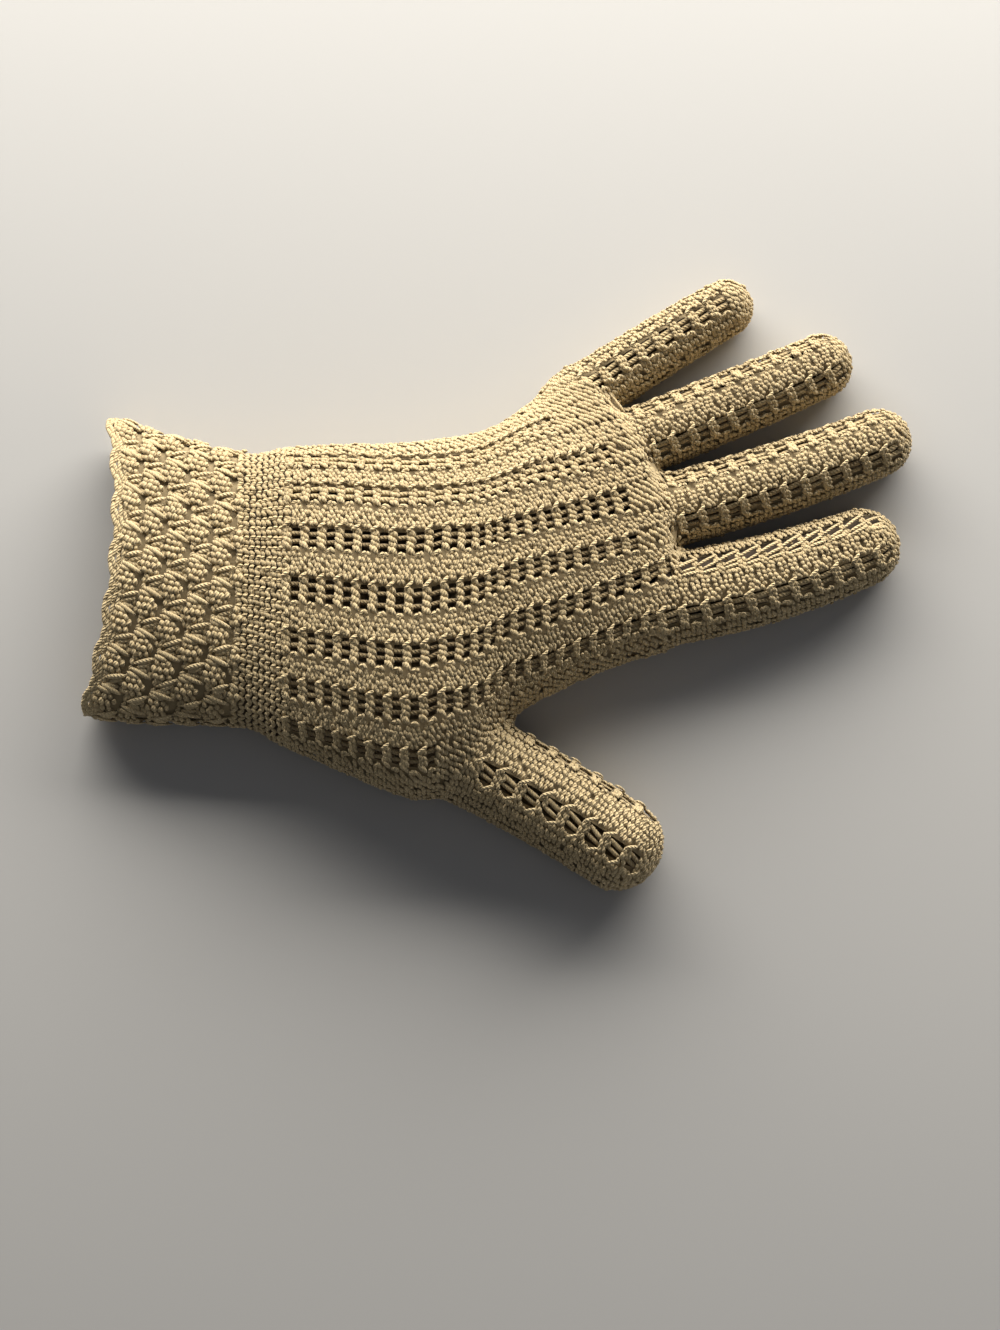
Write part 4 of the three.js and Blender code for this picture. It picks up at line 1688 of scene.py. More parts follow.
class Sheetwork:
    """Builds the thin sheets behind the strokes and under the glove."""

    def __init__(self, form: Form, plan: PlanFrame) -> None:
        """Takes the form that the sheets lie on and the frame of the plan."""
        self.form = form
        self.plan = plan

    def grid(
        self,
        name: str,
        tube: Tube,
        along: Array,
        angle: Array,
        level: Array | float,
        holes: Array | None = None,
        worn: Array | float = 0.4,
        overlap: float = 1.2,
        floor: float = 0.3,
        relief: Array | None = None,
        facing: float = 2.0,
    ) -> bpy.types.Mesh:
        """A mesh over a grid of places and angles, settled on the form.

        Args:
            name: The mesh's name.
            tube: The tube that it belongs to.
            along: Places, as an array of rows by columns.
            angle: Angles, in the same shape.
            level: The level over the skin.
            holes: True for the faces that are left out.
            worn: How light the cotton is painted at each vertex; darker is painted shade.
            overlap: How far the sheet runs past the border with another tube.
            floor: The lowest height of a vertex.
            relief: How far each vertex is pushed outwards.
            facing: How far up a face may look at most, as the height of its normal.

        Returns:
            The mesh, with its painted lightness as an attribute.
        """
        points = self.form.settle(tube.point(along, angle), level)
        off = np.abs(self.form.sample(self.form.skin, points) - level) > 0.5
        middle = (points[:-1, :-1] + points[1:, 1:]) / 2
        keep = np.abs(self.form.sample(self.form.skin, middle) - level) < 0.9
        points[..., 2] = np.maximum(points[..., 2], floor)
        if relief is not None:
            points += self.form.normal(points) * relief[..., None]
        rows, columns = along.shape
        middle = (points[:-1, :-1] + points[1:, 1:]) / 2
        keep &= self.form.owner_gap(tube.name, middle) < overlap
        keep &= self.form.normal(middle)[..., 2] < facing
        keep &= ~(off[:-1, :-1] | off[1:, 1:] | off[:-1, 1:] | off[1:, :-1])
        if holes is not None:
            keep &= ~holes
        i, j = np.nonzero(keep)
        corner = i * columns + j
        faces = np.stack([corner, corner + 1, corner + columns + 1, corner + columns], axis=1)
        mesh = bpy.data.meshes.new(name)
        mesh.from_pydata(self.plan.to_row(points.reshape(-1, 3)).tolist(), [], faces.tolist())
        attribute = mesh.attributes.new("worn", "FLOAT", "POINT")
        attribute.data.foreach_set("value", np.broadcast_to(worn, along.shape).ravel())
        mesh.polygons.foreach_set("use_smooth", np.ones(len(faces), bool))
        return mesh

    def sole(
        self,
        name: str,
        tube: Tube,
        along: Callable[[Array], Array],
        first: float,
        last: float,
        wales: int,
        course: float = 1.85,
        shade: float = 0.1,
    ) -> list[bpy.types.Mesh]:
        """The underside of a tube, knitted plain in stockinette, and the inner face of its wall,
        painted dark as the shade inside the glove.

        Args:
            name: The name of the tube's piece.
            tube: The tube.
            along: Turns lengths into the tube's own places.
            first: The length of the first course.
            last: The length of the last course.
            wales: The number of wales across the underside.
            course: The height of a course.
            shade: How light the inner sheet is painted; its darkness is painted shade.

        Returns:
            The outer sheet and the inner one.
        """
        courses = max(2, round((last - first) / course))
        q = np.arange(courses * 3 + 1) / 3
        p = np.arange(wales * 4 + 1) / 4
        place, angle = self._under(tube, along(first + (last - first) * q / courses), p / wales)
        lean = np.abs((p % 1) - 0.5) * 2
        ridge = 0.5 + 0.5 * np.cos(2 * math.pi * (q[:, None] - 0.8 * lean[None, :]))
        leg = np.abs(np.sin(2 * math.pi * (p % 1)))[None, :]
        # The outer sheet is painted darker between the ridges of its stitches: painted shade in
        # their hollows, alongside the relief.
        outer = self.grid(
            name + "_sole", tube, place, angle, SOLE_LEVEL, None,
            0.25 + 0.75 * ridge * leg, 1.4, 0.42, 0.32 * ridge * leg, -0.3,
        )
        q = np.arange(courses + 1) / courses
        place, angle = self._under(tube, along(first + (last - first) * q), np.linspace(0, 1, 17))
        # The inner face is painted dark: painted shade inside the glove.
        inner = self.grid(name + "_inside", tube, place, angle, INNER_LEVEL, None, shade, 1.4, 2.1)
        inner.flip_normals()
        return [outer, inner]

    def _under(self, tube: Tube, rows: Array, share: Array) -> tuple[Array, Array]:
        """Places and angles that run under the tube from its thumb side to its other side.

        Args:
            tube: The tube.
            rows: Places along it.
            share: Shares of the way across.

        Returns:
            The places and the angles, as rows by columns.
        """
        place = np.repeat(rows[:, None], len(share), axis=1)
        low = np.array([tube.arc(r, SOLE_SIDE) for r in rows])
        high = np.array([tube.arc(r, math.pi) for r in rows])
        other = np.array([tube.arc(r, -math.pi) for r in rows])
        start = np.array([tube.arc(r, -SOLE_SIDE) for r in rows])
        total = (high - low) + (start - other)
        arc = low[:, None] + total[:, None] * share[None, :]
        wrapped = np.where(arc > high[:, None], arc - high[:, None] + other[:, None], arc)
        return place, tube.angle_at(place, wrapped)


# Pieces


@dataclass
class Workshop:
    """What every piece is made with."""

    form: Form
    plan: PlanFrame
    yarn: Yarn
    sheets: Sheetwork
    materials: CottonMaterials
    patches: Patches
    laid: list[Laid] = field(default_factory=list)
    clear: list[Array] = field(default_factory=list)

    def knit(self, layer: Layer) -> Laid:
        """Lays a layer, and notes its strokes and open places.

        Args:
            layer: The layer.

        Returns:
            Its strokes.
        """
        laid = layer.lay()
        self.laid.append(laid)
        self.clear += layer.clear
        return laid

    def patched(self, laid: Laid, tube: Tube, first: float, last: float) -> Laid:
        """A layer's strokes with the patches of its part of the tube."""
        return Laid.join([laid, self.patches.strokes(tube, first, last)])

    def piece(
        self,
        name: str,
        knits: Sequence[bpy.types.Mesh],
        grounds: Sequence[bpy.types.Mesh],
        replaces: Sequence[str] = (),
    ) -> bpy.types.Object:
        """Joins meshes into one piece, gives it its finish and ties it to the frame.

        Args:
            name: The piece's name.
            knits: Its meshes of yarn.
            grounds: Its sheets.
            replaces: The CAD nodes that it stands for.

        Returns:
            The piece.
        """
        parts = []
        for ground in grounds:
            ground.materials.append(self.materials.ground)
        for mesh in (*knits, *grounds):
            part = bpy.data.objects.new(name, mesh)
            bpy.context.collection.objects.link(part)
            parts.append(part)
        whole = parts[0]
        if len(parts) > 1:
            with bpy.context.temp_override(
                active_object=whole, selected_editable_objects=parts, selected_objects=parts
            ):
                bpy.ops.object.join()
        whole.name = name
        whole.data.name = name
        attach(whole, "root")
        if replaces:
            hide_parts(*replaces)
        triangles = sum(len(p.vertices) - 2 for p in whole.data.polygons)
        log.info("%s: %d triangles", name, triangles)
        return whole


@dataclass
class Hand:
    """The back of the hand in lace and the palm in stockinette.

    The back is two pieces, parted along the line that split_start and split_slope give.
    """

    shop: Workshop
    sleeve: Sleeve
    split_start: float = 3.0
    split_slope: float = 0.3
    palm_wales: int = 21
    seed: int = 11

    def lay(self) -> None:
        """Lays the strokes of the back."""
        self.chart = HandChart(self.sleeve)
        chart = self.chart
        layer = Layer(self.shop.form, self.sleeve, self.seed)
        for k in range(1, 8):
            count = chart.cells(k)

            def place(length: Array, across: Array, k: int = k) -> tuple[Array, Array]:
                """The place and angle of a length and a distance across from this lace row."""
                row = chart.row(length)
                return row, chart.angle(row, across + (k - 4) * REPEAT)

            cell = EYELET_CHART if k > 2 else UPPER_CHART
            lay_chart(layer, cell, place, chart.cell_length(np.arange(count)))
            if k < 7:
                lay_chart(layer, RIBBON_CHART, place, chart.cell_length(np.arange(HAND_CELLS + 3)))
        self._fill(layer)
        self.laid = self.shop.knit(layer)

    def build(self) -> list[bpy.types.Object]:
        """Makes the two halves of the back and the palm.

        Returns:
            The pieces.
        """
        laid = self.shop.patched(self.laid, self.sleeve, BAND_END, self.sleeve.last + 0.5)
        border = self.split_start + self.split_slope * (laid.start[:, 0] - 60).clip(0, 60)
        low = laid.start[:, 1] < border
        knits = [
            self.shop.yarn.mesh(f"hand_{side}", laid.pick(half))
            for side, half in (("thumb_side", low), ("little_side", ~low))
        ]
        return [
            self.shop.piece("hand_thumb_side", [knits[0]], [self._ground()], ["hand"]),
            self.shop.piece("hand_little_side", [knits[1]], []),
            self.shop.piece("palm", [], self._palm()),
        ]

    def _fill(self, layer: Layer) -> None:
        """Solid knitting at the sides, and where a lace row has ended.

        Args:
            layer: The layer that takes the strokes.
        """
        chart, sleeve = self.chart, self.sleeve

        def edge(k: float, w: float) -> Callable[[float], float]:
            """Gives the arc length at a distance w across from lace row k, at each length."""

            def arc(length: float) -> float:
                """The arc length at one length."""
                row = float(chart.row(length))
                return sleeve.arc(row, float(chart.angle(row, (k - 4) * REPEAT + w)))

            return arc

        def side(sign: int) -> Callable[[float], float]:
            """Gives the arc length at which the knitting ends on one side, at each length."""
            return lambda length: sleeve.arc(float(chart.row(length)), sign * SIDE_ANGLE)

        whole = np.arange(0.6, self.chart.end - self.chart.start + 9, PITCH / 4)
        slanted(layer, chart.row, whole, side(-1), edge(1, -4.3))
        lace_end = float(chart.cell_length(THUMB_ROW_CELLS - 1)) + 1.7
        slanted(layer, chart.row, whole[whole < lace_end], edge(7, 4.6), side(1))
        slanted(layer, chart.row, whole[whole >= lace_end], edge(6, 9.6), side(1))
        for k in range(1, 7):
            end = float(chart.cell_length(chart.cells(k) - 1)) + 1.5
            slanted(layer, chart.row, whole[whole >= end], edge(k, -4.0), edge(k, 4.0))
        start = whole[whole < HAND_LACE_START]
        for k in range(1, 8):
            slanted(layer, chart.row, start, edge(k, -4.0), edge(k, 4.0))

    def _ground(self) -> bpy.types.Mesh:
        """A ground behind the solid knitting, open behind every eyelet, painted dark as shade
        between the strokes.

        Returns:
            The ground's mesh.
        """
        chart = self.chart
        cells = HAND_CELLS + 4
        lengths = [0.0]
        for j in range(cells):
            middle = float(chart.cell_length(j))
            lengths += [middle - 1.15, middle + 1.15]
        rows = chart.row(np.array(lengths))
        zone = (-2.75, 2.75, 5.0, 7.4)
        across = np.array([(k - 4) * REPEAT + w for k in range(1, 8) for w in zone])
        along = np.repeat(rows[:, None], len(across) + 8, axis=1)
        inner = chart.angle(rows[:, None], across[None, :])
        left = -GROUND_SIDE + (inner[:, :1] + GROUND_SIDE) * (np.arange(4) / 4)[None, :]
        right = inner[:, -1:] + (GROUND_SIDE - inner[:, -1:]) * ((np.arange(4) + 1) / 4)[None, :]
        angle = np.concatenate([left, inner, right], axis=1)
        holes = np.zeros((len(rows) - 1, angle.shape[1] - 1), bool)
        for k in range(1, 8):
            for j in range(chart.cells(k)):
                holes[1 + 2 * j, 4 + (k - 1) * len(zone)] = True
        return self.shop.sheets.grid(
            "hand_ground", self.sleeve, along, angle, GROUND_LEVEL, holes, GROUND_PAINTED_LIGHTNESS
        )

    def _palm(self) -> list[bpy.types.Mesh]:
        """The plain palm, with the inner face of its wall."""
        chart = self.chart
        return self.shop.sheets.sole(
            "palm", self.sleeve, chart.row, -0.2, chart.end - chart.start + 6.5, self.palm_wales
        )


@dataclass(frozen=True)
class DigitLace:
    """One lace row along a digit.

    side is its place as a share of the quarter girth, stretch and spread its size against the
    chart, last its end as a share of the skin length, and half the room that it takes.
    """

    side: float
    chart: Chart
    pitch: float
    stretch: float
    spread: float
    first: float
    last: float
    half: float = 4.1
    behind: Behind = Behind.OPEN


DIGIT_LACE = {
    "thumb": (
        DigitLace(-0.66, EYELET_CHART, 6.4, 1.3, 0.8, 9.0, 0.8),
        DigitLace(0.16, FAN_CHART, 6.4, 1.0, 1.0, 1.0, 0.97),
    ),
    "index_finger": (
        DigitLace(-0.36, CROSS_CHART, 5.85, 1.0, 1.05, -8.85, 0.95, 3.9, Behind.SHADED),
        DigitLace(0.0, SEED_CHART, 5.85, 1.0, 0.9, -8.85, 0.9, 3.4, Behind.PLAIN),
        DigitLace(0.38, FINGER_CHART, 5.85, 1.2, 0.8, -8.85, 0.9),
    ),
    "middle_finger": (
        DigitLace(-0.42, FINGER_CHART, 5.6, 1.15, 0.85, -3.0, 0.9),
        DigitLace(0.0, SEED_CHART, 5.6, 0.96, 0.85, -3.0, 0.9, 3.4, Behind.PLAIN),
        DigitLace(0.42, FINGER_CHART, 5.6, 1.15, 0.85, -3.0, 0.9),
    ),
    "ring_finger": (
        DigitLace(-0.42, FINGER_CHART, 5.6, 1.15, 0.8, -3.0, 0.9),
        DigitLace(0.0, SEED_CHART, 5.6, 0.96, 0.8, -3.0, 0.9, 3.4, Behind.PLAIN),
        DigitLace(0.42, FINGER_CHART, 5.6, 1.15, 0.8, -3.0, 0.9),
    ),
    "little_finger": (DigitLace(0.0, FINGER_CHART, 5.6, 1.15, 0.9, -3.0, 0.88),),
}
# Half the width of the openings in the ground behind a lace row
LACE_OPEN = 2.75
# The seed of the first digit's layer
DIGIT_SEED = 31


@dataclass
class DigitKnit:
    """The thumb or a finger, with its lace rows, its solid knitting and its plain underside."""

    shop: Workshop
    digit: Digit
    seed: int
    course: float = 1.3
    root: float = -12.5
    sole_wales: int = 7
    ground_course: float = 1.1
    girth_row: int = 14

    def lay(self) -> None:
        """Lays the strokes of the digit."""
        self.laces = DIGIT_LACE[self.digit.name]
        self.courses = np.arange(self.root, self.digit.skin_length - 0.5, self.course)
        layer = Layer(self.shop.form, self.digit, self.seed)
        for lace in self.laces:
            self._lace(layer, lace)
        self._fill(layer)
        self.laid = self.shop.knit(layer)

    def build(self) -> bpy.types.Object:
        """Makes the digit's piece.

        Returns:
            The piece.
        """
        digit = self.digit
        laid = self.shop.patched(self.laid, digit, self.root, digit.length + 2)
        knit = self.shop.yarn.mesh(digit.name + "_knit", laid)
        soles = self.shop.sheets.sole(
            digit.name, digit, digit.at_skin, self.root, digit.skin_length, self.sole_wales
        )
        return self.shop.piece(
            digit.name + "_knit", [knit], [self._ground(), *soles], [digit.name]
        )

    def _half_girth(self, along: float) -> float:
        """The arc length from the highest line to the side."""
        return self.digit.arc(along, math.pi / 2)

    def _cells(self, lace: DigitLace) -> Array:
        """The middles of a lace row's cells."""
        end = lace.last * self.digit.skin_length
        count = int((end - lace.first) / lace.pitch)
        return lace.first + lace.pitch * (np.arange(count) + 0.5)

    def _lace(self, layer: Layer, lace: DigitLace) -> None:
        """Lays one lace row.

        Args:
            layer: The layer that takes the strokes.
            lace: The lace row.
        """
        digit = self.digit

        def place(length: Array, across: Array) -> tuple[Array, Array]:
            """The places and angles at distances across from the lace row."""
            along = digit.at_skin(length)
            half = np.array([self._half_girth(s) for s in along])
            return along, digit.angle_at(along, lace.side * half + across)

        lay_chart(layer, lace.chart, place, self._cells(lace), lace.stretch, lace.spread)

    def _fill(self, layer: Layer) -> None:
        """Solid knitting in every course, on both sides of the lace rows that it crosses.

        Args:
            layer: The layer that takes the strokes.
        """
        digit = self.digit
        for course in self.courses:
            along = float(digit.at_skin(course))
            edges = [digit.arc(along, -SIDE_ANGLE)]
            for lace in sorted(self.laces, key=lambda item: item.side):
                middles = self._cells(lace)
                first = middles[0] - 3.4 * lace.stretch
                if first <= course <= middles[-1] + 1.9 * lace.stretch:
                    middle = lace.side * self._half_girth(along)
                    half = lace.half * lace.spread
                    edges += [middle - half, middle + half]
            edges.append(digit.arc(along, SIDE_ANGLE))
            for low, high in zip(edges[::2], edges[1::2], strict=True):
                slanted(
                    layer, digit.at_skin, np.array([course]),
                    lambda _, low=low: low, lambda _, high=high: high,
                )

    def _ground(self) -> bpy.types.Mesh:
        """A ground behind the solid knitting, open behind the eyelets of each lace row, painted
        dark as shade between the strokes.

        Returns:
            The ground's mesh.
        """
        digit = self.digit
        skin = np.arange(self.root, digit.skin_length - 0.3, self.ground_course)
        skin = np.append(skin, digit.skin_length)
        rows = digit.at_skin(skin)
        half = np.array([self._half_girth(s) for s in rows])
        low = np.array([digit.arc(s, -GROUND_SIDE) for s in rows])
        high = np.array([digit.arc(s, GROUND_SIDE) for s in rows])
        columns = [low]
        windows: list[tuple[int, DigitLace]] = []
        for lace in sorted(self.laces, key=lambda item: item.side):
            if lace.behind is Behind.PLAIN:
                continue
            reach = LACE_OPEN * lace.spread * np.clip(half / half[self.girth_row], 0.05, 1)
            first, last = lace.side * half - reach, lace.side * half + reach
            start = columns[-1]
            columns += [start + (first - start) * t for t in (0.25, 0.5, 0.75, 1.0)]
            windows.append((len(columns) - 1, lace))
            columns.append(last)
        start = columns[-1]
        columns += [start + (high - start) * t for t in (0.25, 0.5, 0.75, 1.0)]
        arcs = np.stack(columns, axis=1)
        along = np.repeat(rows[:, None], arcs.shape[1], axis=1)
        angle = digit.angle_at(along, arcs)
        holes = np.zeros((len(rows) - 1, arcs.shape[1] - 1), bool)
        middle = (skin[:-1] + skin[1:]) / 2
        worn = np.full(along.shape, GROUND_PAINTED_LIGHTNESS)
        for column, lace in windows:
            # Behind a SHADED row the ground is painted darker: painted shade for the openings that
            # it closes.
            if lace.behind is Behind.SHADED:
                worn[:, column : column + 2] = SHADED_PAINTED_LIGHTNESS
                continue
            gaps = np.abs(middle[:, None] - self._cells(lace)[None, :]).min(axis=1)
            open_ = 0.65 + max(abs(u) for u, _ in lace.chart.clear)
            holes[:, column] = gaps < open_ * lace.stretch
        return self.shop.sheets.grid(
            digit.name + "_ground", digit, along, angle, GROUND_LEVEL, holes, worn
        )


@dataclass(frozen=True)
class Cord:
    """One of the nearly parallel cords of the cast-on edge.

    back is how far out of the mouth it lies, lean how far its loops slant, and shift where they
    start, as a share of a loop.
    """

    back: float
    lean: float
    width: float
    shift: float
    kind: Kind = Kind.STRAND


EDGE_CORDS = (
    Cord(1.6, 0.12, 1.2, 0.0),
    Cord(0.7, -0.14, 1.15, 0.5),
    Cord(-0.35, 0.1, 1.15, 0.2),
    Cord(-1.5, -0.16, 1.15, 0.7),
    Cord(-2.6, 0.2, 1.15, 0.4, Kind.OVAL),
)
# The bars between the cords: their place in a loop, and how far out they start and end
EDGE_BARS = ((0.1, 0.9, -0.9), (0.6, -1.0, -3.4))


@dataclass
class Cuff:
    """The honeycomb cuff, its corded edge, and the wrist band.

    dome is how far each pillow rises, over dome_radius. loop is the length of a loop of the edge,
    and scallop the depth of its scallops.
    """

    shop: Workshop
    sleeve: Sleeve
    round_cells: int = 11
    dome: float = 0.7
    dome_radius: float = 4.1
    band_wales: int = 44
    band_courses: int = 7
    loop: float = 3.3
    scallop: float = 0.85
    sole_wales: int = 18
    start: float = -0.2
    ground_columns: int = 49
    cell_seed: int = 21
    band_seed: int = 23
    edge_seed: int = 29

    def lay(self) -> None:
        """Lays the strokes of the cuff, of its edge and of the band."""
        self.end = self.sleeve.length_at(CUFF_END)
        self.band_end = self.sleeve.length_at(BAND_END)
        self.honeycomb = self._honeycomb()
        self.edge = self._edge_strokes()
        self.shop.laid.append(self.edge)
        layer = Layer(self.shop.form, self.sleeve, self.band_seed)
        course = (self.band_end - self.end) / self.band_courses
        lengths = self.end + course * (np.arange(self.band_courses + 2) - 0.45)
        vees(layer, self.sleeve.row_at, lengths, self.band_wales)
        self.band = self.shop.knit(layer)

    def build(self) -> list[bpy.types.Object]:
        """Makes the cuff, the edge and the band.

        Returns:
            The pieces.
        """
        edge = self.shop.yarn.mesh("cuff_edge_knit", self.edge)
        return [
            self._cuff(), self.shop.piece("cuff_edge_knit", [edge], [], ["cuff_edge"]),
            self._band(),
        ]

    def _span(self, row: float) -> tuple[float, float]:
        """The arc lengths at which the knitted upper side starts and ends."""
        return self.sleeve.arc(row, -SIDE_ANGLE), self.sleeve.arc(row, SIDE_ANGLE)

    def _honeycomb(self) -> Laid:
        """The strokes of all the honeycomb cells.

        Returns:
            The strokes.
        """
        sleeve = self.sleeve
        layer = Layer(self.shop.form, sleeve, self.cell_seed)
        centres: list[tuple[float, float]] = []
        for i in range(-1, int(self.end / HONEYCOMB_ALONG * 2) + 2):
            for j in range(-1, self.round_cells + 1):
                centres.append(((i + 0.5) * HONEYCOMB_ALONG / 2, j + (0.5 if i % 2 else 0.0)))
        lengths, columns = np.array(centres).T

        def place(length: Array, across: Array) -> tuple[Array, Array]:
            """The row and angle of a length and a distance across from each cell's middle.

            Args:
                length: The lengths.
                across: The distances across.

            Returns:
                The rows and the angles.
            """
            row = sleeve.row_at(length)
            spans = np.array([self._span(float(r)) for r in row])
            cell = (spans[:, 1] - spans[:, 0]) / self.round_cells
            arc = spans[:, 0] + cell * (columns + across / HONEYCOMB_ACROSS)
            return row, sleeve.angle_at(row, arc)

        side = SIDE_ANGLE + math.radians(4)
        for s in HONEYCOMB_CHART.strokes:
            along0, angle0 = place(lengths + s.u0, np.full(len(lengths), s.w0))
            along1, angle1 = place(lengths + s.u1, np.full(len(lengths), s.w1))
            u, w = (s.u0 + s.u1) / 2, (s.w0 + s.w1) / 2
            pillow = max(0.0, 1 - (u**2 + w**2) / self.dome_radius**2)
            lift = s.lift + self.dome * math.sqrt(pillow) - 0.15
            inside = (lengths + s.u0 > -0.3) & (lengths + s.u1 < self.end + 0.5)
            inside &= (lengths + s.u1 > -0.3) & (np.abs(angle0) < side) & (np.abs(angle1) < side)
            pick = np.nonzero(inside)[0]
            layer.strokes.add(
                along0[pick], angle0[pick], along1[pick], angle1[pick],
                s.width * 1.12, lift, int(s.kind), s.tone,
            )
        for u, w in HONEYCOMB_CHART.clear:
            layer.keep_clear(*place(lengths + u, np.full(len(lengths), w)))
        return self.shop.knit(layer)

    def _ground(self, name: str, lengths: Array, level: float, worn: float) -> bpy.types.Mesh:
        """The ground behind the strokes of one part of the sleeve, painted dark as shade between
        them.
        """
        angles = np.linspace(-GROUND_SIDE, GROUND_SIDE, self.ground_columns)
        along, angle = np.meshgrid(self.sleeve.row_at(lengths), angles, indexing="ij")
        return self.shop.sheets.grid(name, self.sleeve, along, angle, level, None, worn)

    def _cuff(self) -> bpy.types.Object:
        """Makes the cuff's piece.

        Returns:
            The piece.
        """
        sleeve = self.sleeve
        laid = self.shop.patched(self.honeycomb, sleeve, 0.04, CUFF_END)
        knit = self.shop.yarn.mesh("cuff_knit", laid)
        lengths = np.linspace(self.start, self.end, 15)
        ground = self._ground("cuff_ground", lengths, GROUND_LEVEL + 0.1, GROUND_PAINTED_LIGHTNESS)
        soles = self.shop.sheets.sole(
            "cuff", sleeve, sleeve.row_at, self.start, self.end, self.sole_wales,
            shade=GROUND_PAINTED_LIGHTNESS,
        )
        return self.shop.piece("cuff_knit", [knit], [ground, *soles], ["cuff"])

    def _band(self) -> bpy.types.Object:
        """Makes the wrist band's piece.

        Returns:
            The piece.
        """
        sleeve = self.sleeve
        knit = self.shop.yarn.mesh("wrist_knit", self.band)
        lengths = np.linspace(self.end, self.band_end, 5)
        # The band's ground is painted at its darkest: painted shade between the vees.
        ground = self._ground("wrist_ground", lengths, GROUND_LEVEL + 0.2, 0.0)
        soles = self.shop.sheets.sole(
            "wrist", sleeve, sleeve.row_at, self.end, self.band_end, self.sole_wales
        )
        return self.shop.piece("wrist_knit", [knit], [ground, *soles], ["wrist_band"])

    def _edge_strokes(self) -> Laid:
        """The cast-on edge: rows of long loops with slits between them and small holes behind.

        Returns:
            The strokes.
        """
        sleeve, form = self.sleeve, self.shop.form
        random = np.random.default_rng(self.edge_seed)
        low, high = sleeve.arc(0.0, -math.pi), sleeve.arc(0.0, math.pi)
        total = high - low
        loops = round(total / self.loop)
        waves = round(loops / 4)
        s = sleeve.sections(np.array([0.0]))
        forward = np.array([s.forward[0, 0], s.forward[0, 1], 0.0])

        def spot(arc: Array, back: float) -> Array:
            """Points round the mouth, at a distance out from it.

            Args:
                arc: Arc lengths round the mouth.
                back: How far out the points lie.

            Returns:
                The points.
            """
            wrapped = (arc - low) % total + low
            angle = sleeve.angle_at(np.zeros(len(arc)), wrapped)
            points = form.settle(sleeve.point(np.zeros(len(arc)), angle), YARN_LEVEL)
            wave = self.scallop * np.cos(2 * math.pi * (arc - low) / total * waves)
            out = back + 0.4 + wave * np.clip((back + 4) / 5, 0, 1)
            points = points - forward * out[..., None]
            points[:, 2] = np.maximum(points[:, 2], 1.1)
            return points

        def strokes(start: Array, end: Array, width: float, kind: Kind, tone: Array) -> Laid:
            """One stroke for each loop, from one ring of points to another."""
            return Laid(
                start, end, form.normal(start), np.full(loops, width),
                np.full(loops, int(kind)), tone,
            )

        step = total / loops
        at = low + step * np.arange(loops)
        parts = []
        for cord in EDGE_CORDS:
            start = spot(at + (cord.shift - 0.1) * step, cord.back - cord.lean)
            end = spot(at + (cord.shift + 1.1) * step, cord.back + cord.lean)
            tone = random.normal(0.1, 0.2, loops)
            parts.append(strokes(start, end, cord.width, cord.kind, tone))
        for lag, fore, aft in EDGE_BARS:
            bars = at + lag * step
            start, end = spot(bars, fore), spot(bars + 0.5, aft)
            parts.append(strokes(start, end, 1.1, Kind.OVAL, random.normal(0.0, 0.1, loops)))
        return Laid.join(parts)


# Studio


@dataclass(frozen=True)
class Light:
    """One area light, placed in the plan in millimetres and aimed at the glove."""

    name: str
    place: Triple
    size: tuple[float, float]
    power: float
    colour: Triple


LIGHTS = (
    Light("key", (130.0, 620.0, 270.0), (1.5, 0.45), 20.5, (1.0, 0.96, 0.89)),
    Light("fill", (330.0, -420.0, 600.0), (0.8, 0.8), 0.35, (0.97, 0.97, 1.0)),
)


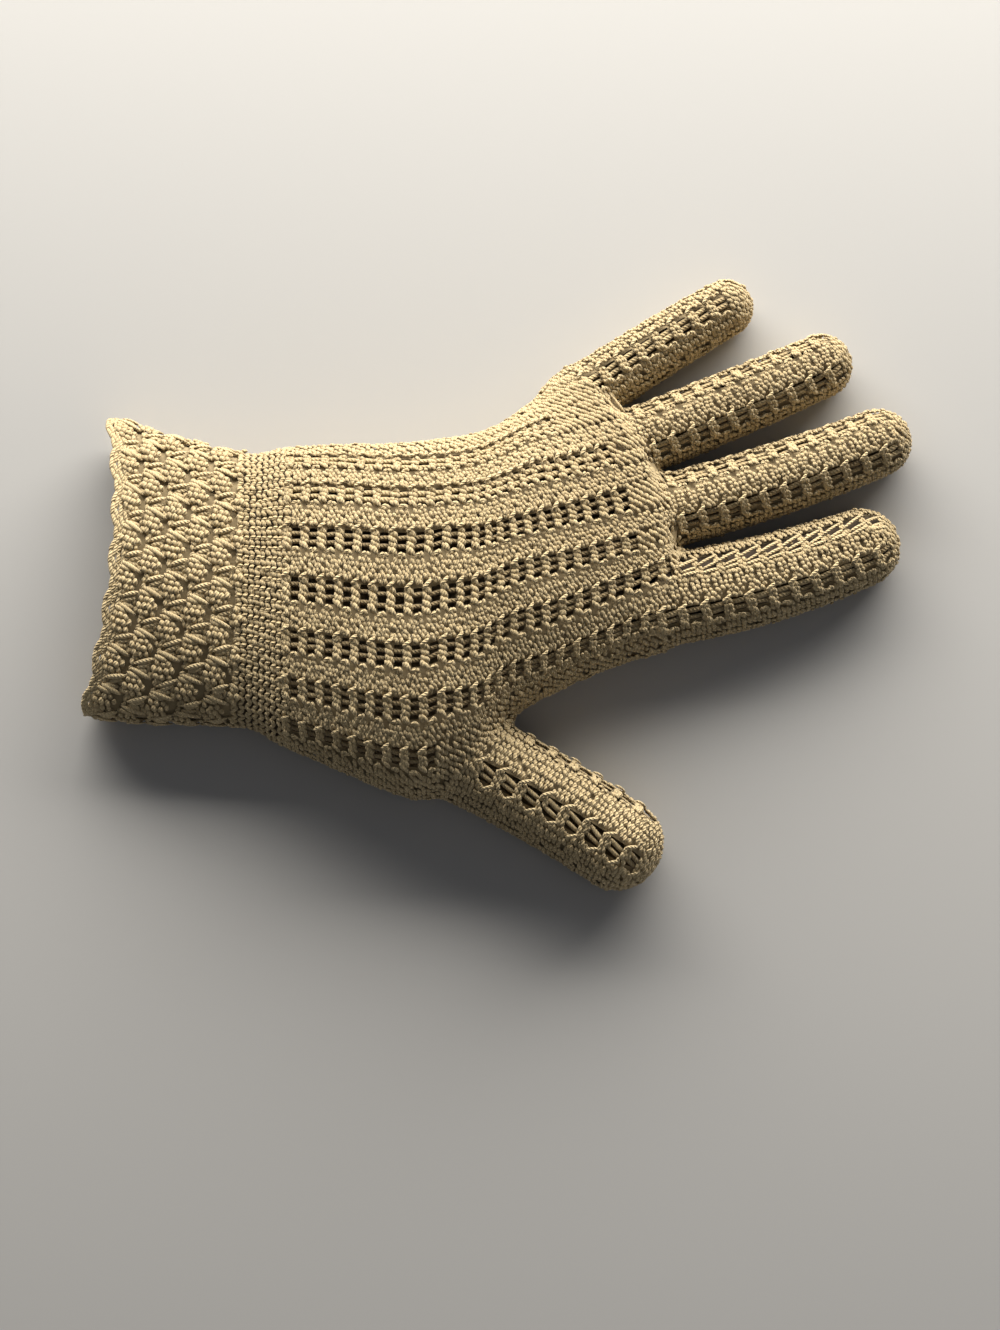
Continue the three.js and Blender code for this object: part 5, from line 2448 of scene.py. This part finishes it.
@dataclass
class Studio:
    """The floor, the lights and the camera.

    centre is the place in the plan that everything is aimed at, and view_height the height of
    the picture there, both in millimetres.
    """

    plan: PlanFrame
    centre: Triple = (110.5, -11.7, 12.0)
    view_height: float = 345.8
    elevation: float = 80.0
    lens: float = 110.0
    sensor: float = 36.0
    floor_size: float = 6.0
    floor_colour: Triple = (0.5, 0.495, 0.485)
    floor_roughness: float = 0.9
    world_colour: Triple = (0.9, 0.93, 1.0)
    world_strength: float = 0.075

    def build(self) -> None:
        """Sets up everything round the glove."""
        self._floor()
        for light in LIGHTS:
            self._light(light)
        self._world()
        self._camera()
        view = bpy.context.scene.view_settings
        view.view_transform = "Standard"
        view.look = "None"
        view.exposure = 0.0

    def _floor(self) -> None:
        """Lays the pale floor."""
        bpy.ops.mesh.primitive_plane_add(size=self.floor_size, location=(0, 0, 0))
        floor = bpy.context.object
        floor.name = "floor"
        material = bpy.data.materials.new("floor")
        material.use_nodes = True
        shader = material.node_tree.nodes["Principled BSDF"]
        shader.inputs["Base Color"].default_value = (*self.floor_colour, 1.0)
        shader.inputs["Roughness"].default_value = self.floor_roughness
        floor.data.materials.append(material)

    def _light(self, light: Light) -> None:
        """Hangs one light.

        Args:
            light: Its place, size, power and colour.
        """
        data = bpy.data.lights.new(light.name, "AREA")
        data.shape = "RECTANGLE"
        data.size, data.size_y = light.size
        data.energy = light.power
        data.color = light.colour
        lamp = bpy.data.objects.new(light.name, data)
        bpy.context.collection.objects.link(lamp)
        place = Vector(self.plan.to_row(np.array(light.place)))
        aim = Vector(self.plan.to_row(np.array(self.centre)))
        lamp.location = place
        lamp.rotation_mode = "QUATERNION"
        lamp.rotation_quaternion = (aim - place).to_track_quat("-Z", "Y")

    def _world(self) -> None:
        """Sets the soft light from all round."""
        world = bpy.data.worlds.new("studio")
        world.use_nodes = True
        background = world.node_tree.nodes["Background"]
        background.inputs[0].default_value = (*self.world_colour, 1.0)
        background.inputs[1].default_value = self.world_strength
        bpy.context.scene.world = world

    def _camera(self) -> None:
        """Sets up the camera at the photograph's angle."""
        data = bpy.data.cameras.new("camera")
        data.lens = self.lens
        data.sensor_width = self.sensor
        data.dof.use_dof = False
        data.clip_start, data.clip_end = 0.05, 20.0
        camera = bpy.data.objects.new("camera", data)
        bpy.context.collection.objects.link(camera)
        distance = self.view_height / 2 / (self.sensor / 2 / self.lens)
        elevation = math.radians(self.elevation)
        back = np.array([0.0, -math.cos(elevation), math.sin(elevation)])
        camera.location = Vector(self.plan.to_row(np.array(self.centre) + back * distance))
        z = self.plan.turn(back)
        x = self.plan.turn(np.array([1.0, 0.0, 0.0]))
        camera.rotation_mode = "QUATERNION"
        camera.rotation_quaternion = quaternions(x[None], np.cross(z, x)[None], z[None])[0]
        bpy.context.scene.camera = camera


def main() -> None:
    """Builds the glove and the studio."""
    logging.basicConfig(level=logging.INFO, format="%(message)s")
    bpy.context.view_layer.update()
    sleeve = Sleeve()
    digits = [Digit(row) for row in DIGIT_TABLE]
    form = Form(sleeve, digits)
    plan = PlanFrame.from_cad(sleeve)
    materials = CottonMaterials(CottonFinish())
    shop = Workshop(
        form, plan, Yarn(plan, materials.yarn), Sheetwork(form, plan), materials, Patches(form)
    )
    parts: list[Cuff | Hand | DigitKnit] = [Cuff(shop, sleeve), Hand(shop, sleeve)]
    parts += [DigitKnit(shop, digit, seed) for seed, digit in enumerate(digits, DIGIT_SEED)]
    for part in parts:
        part.lay()
    shop.patches.find(Laid.join(shop.laid), np.concatenate(shop.clear))
    log.info("%d patches", len(shop.patches.points))
    for part in parts:
        part.build()
    Studio(plan).build()


if __name__ == "__main__":
    main()
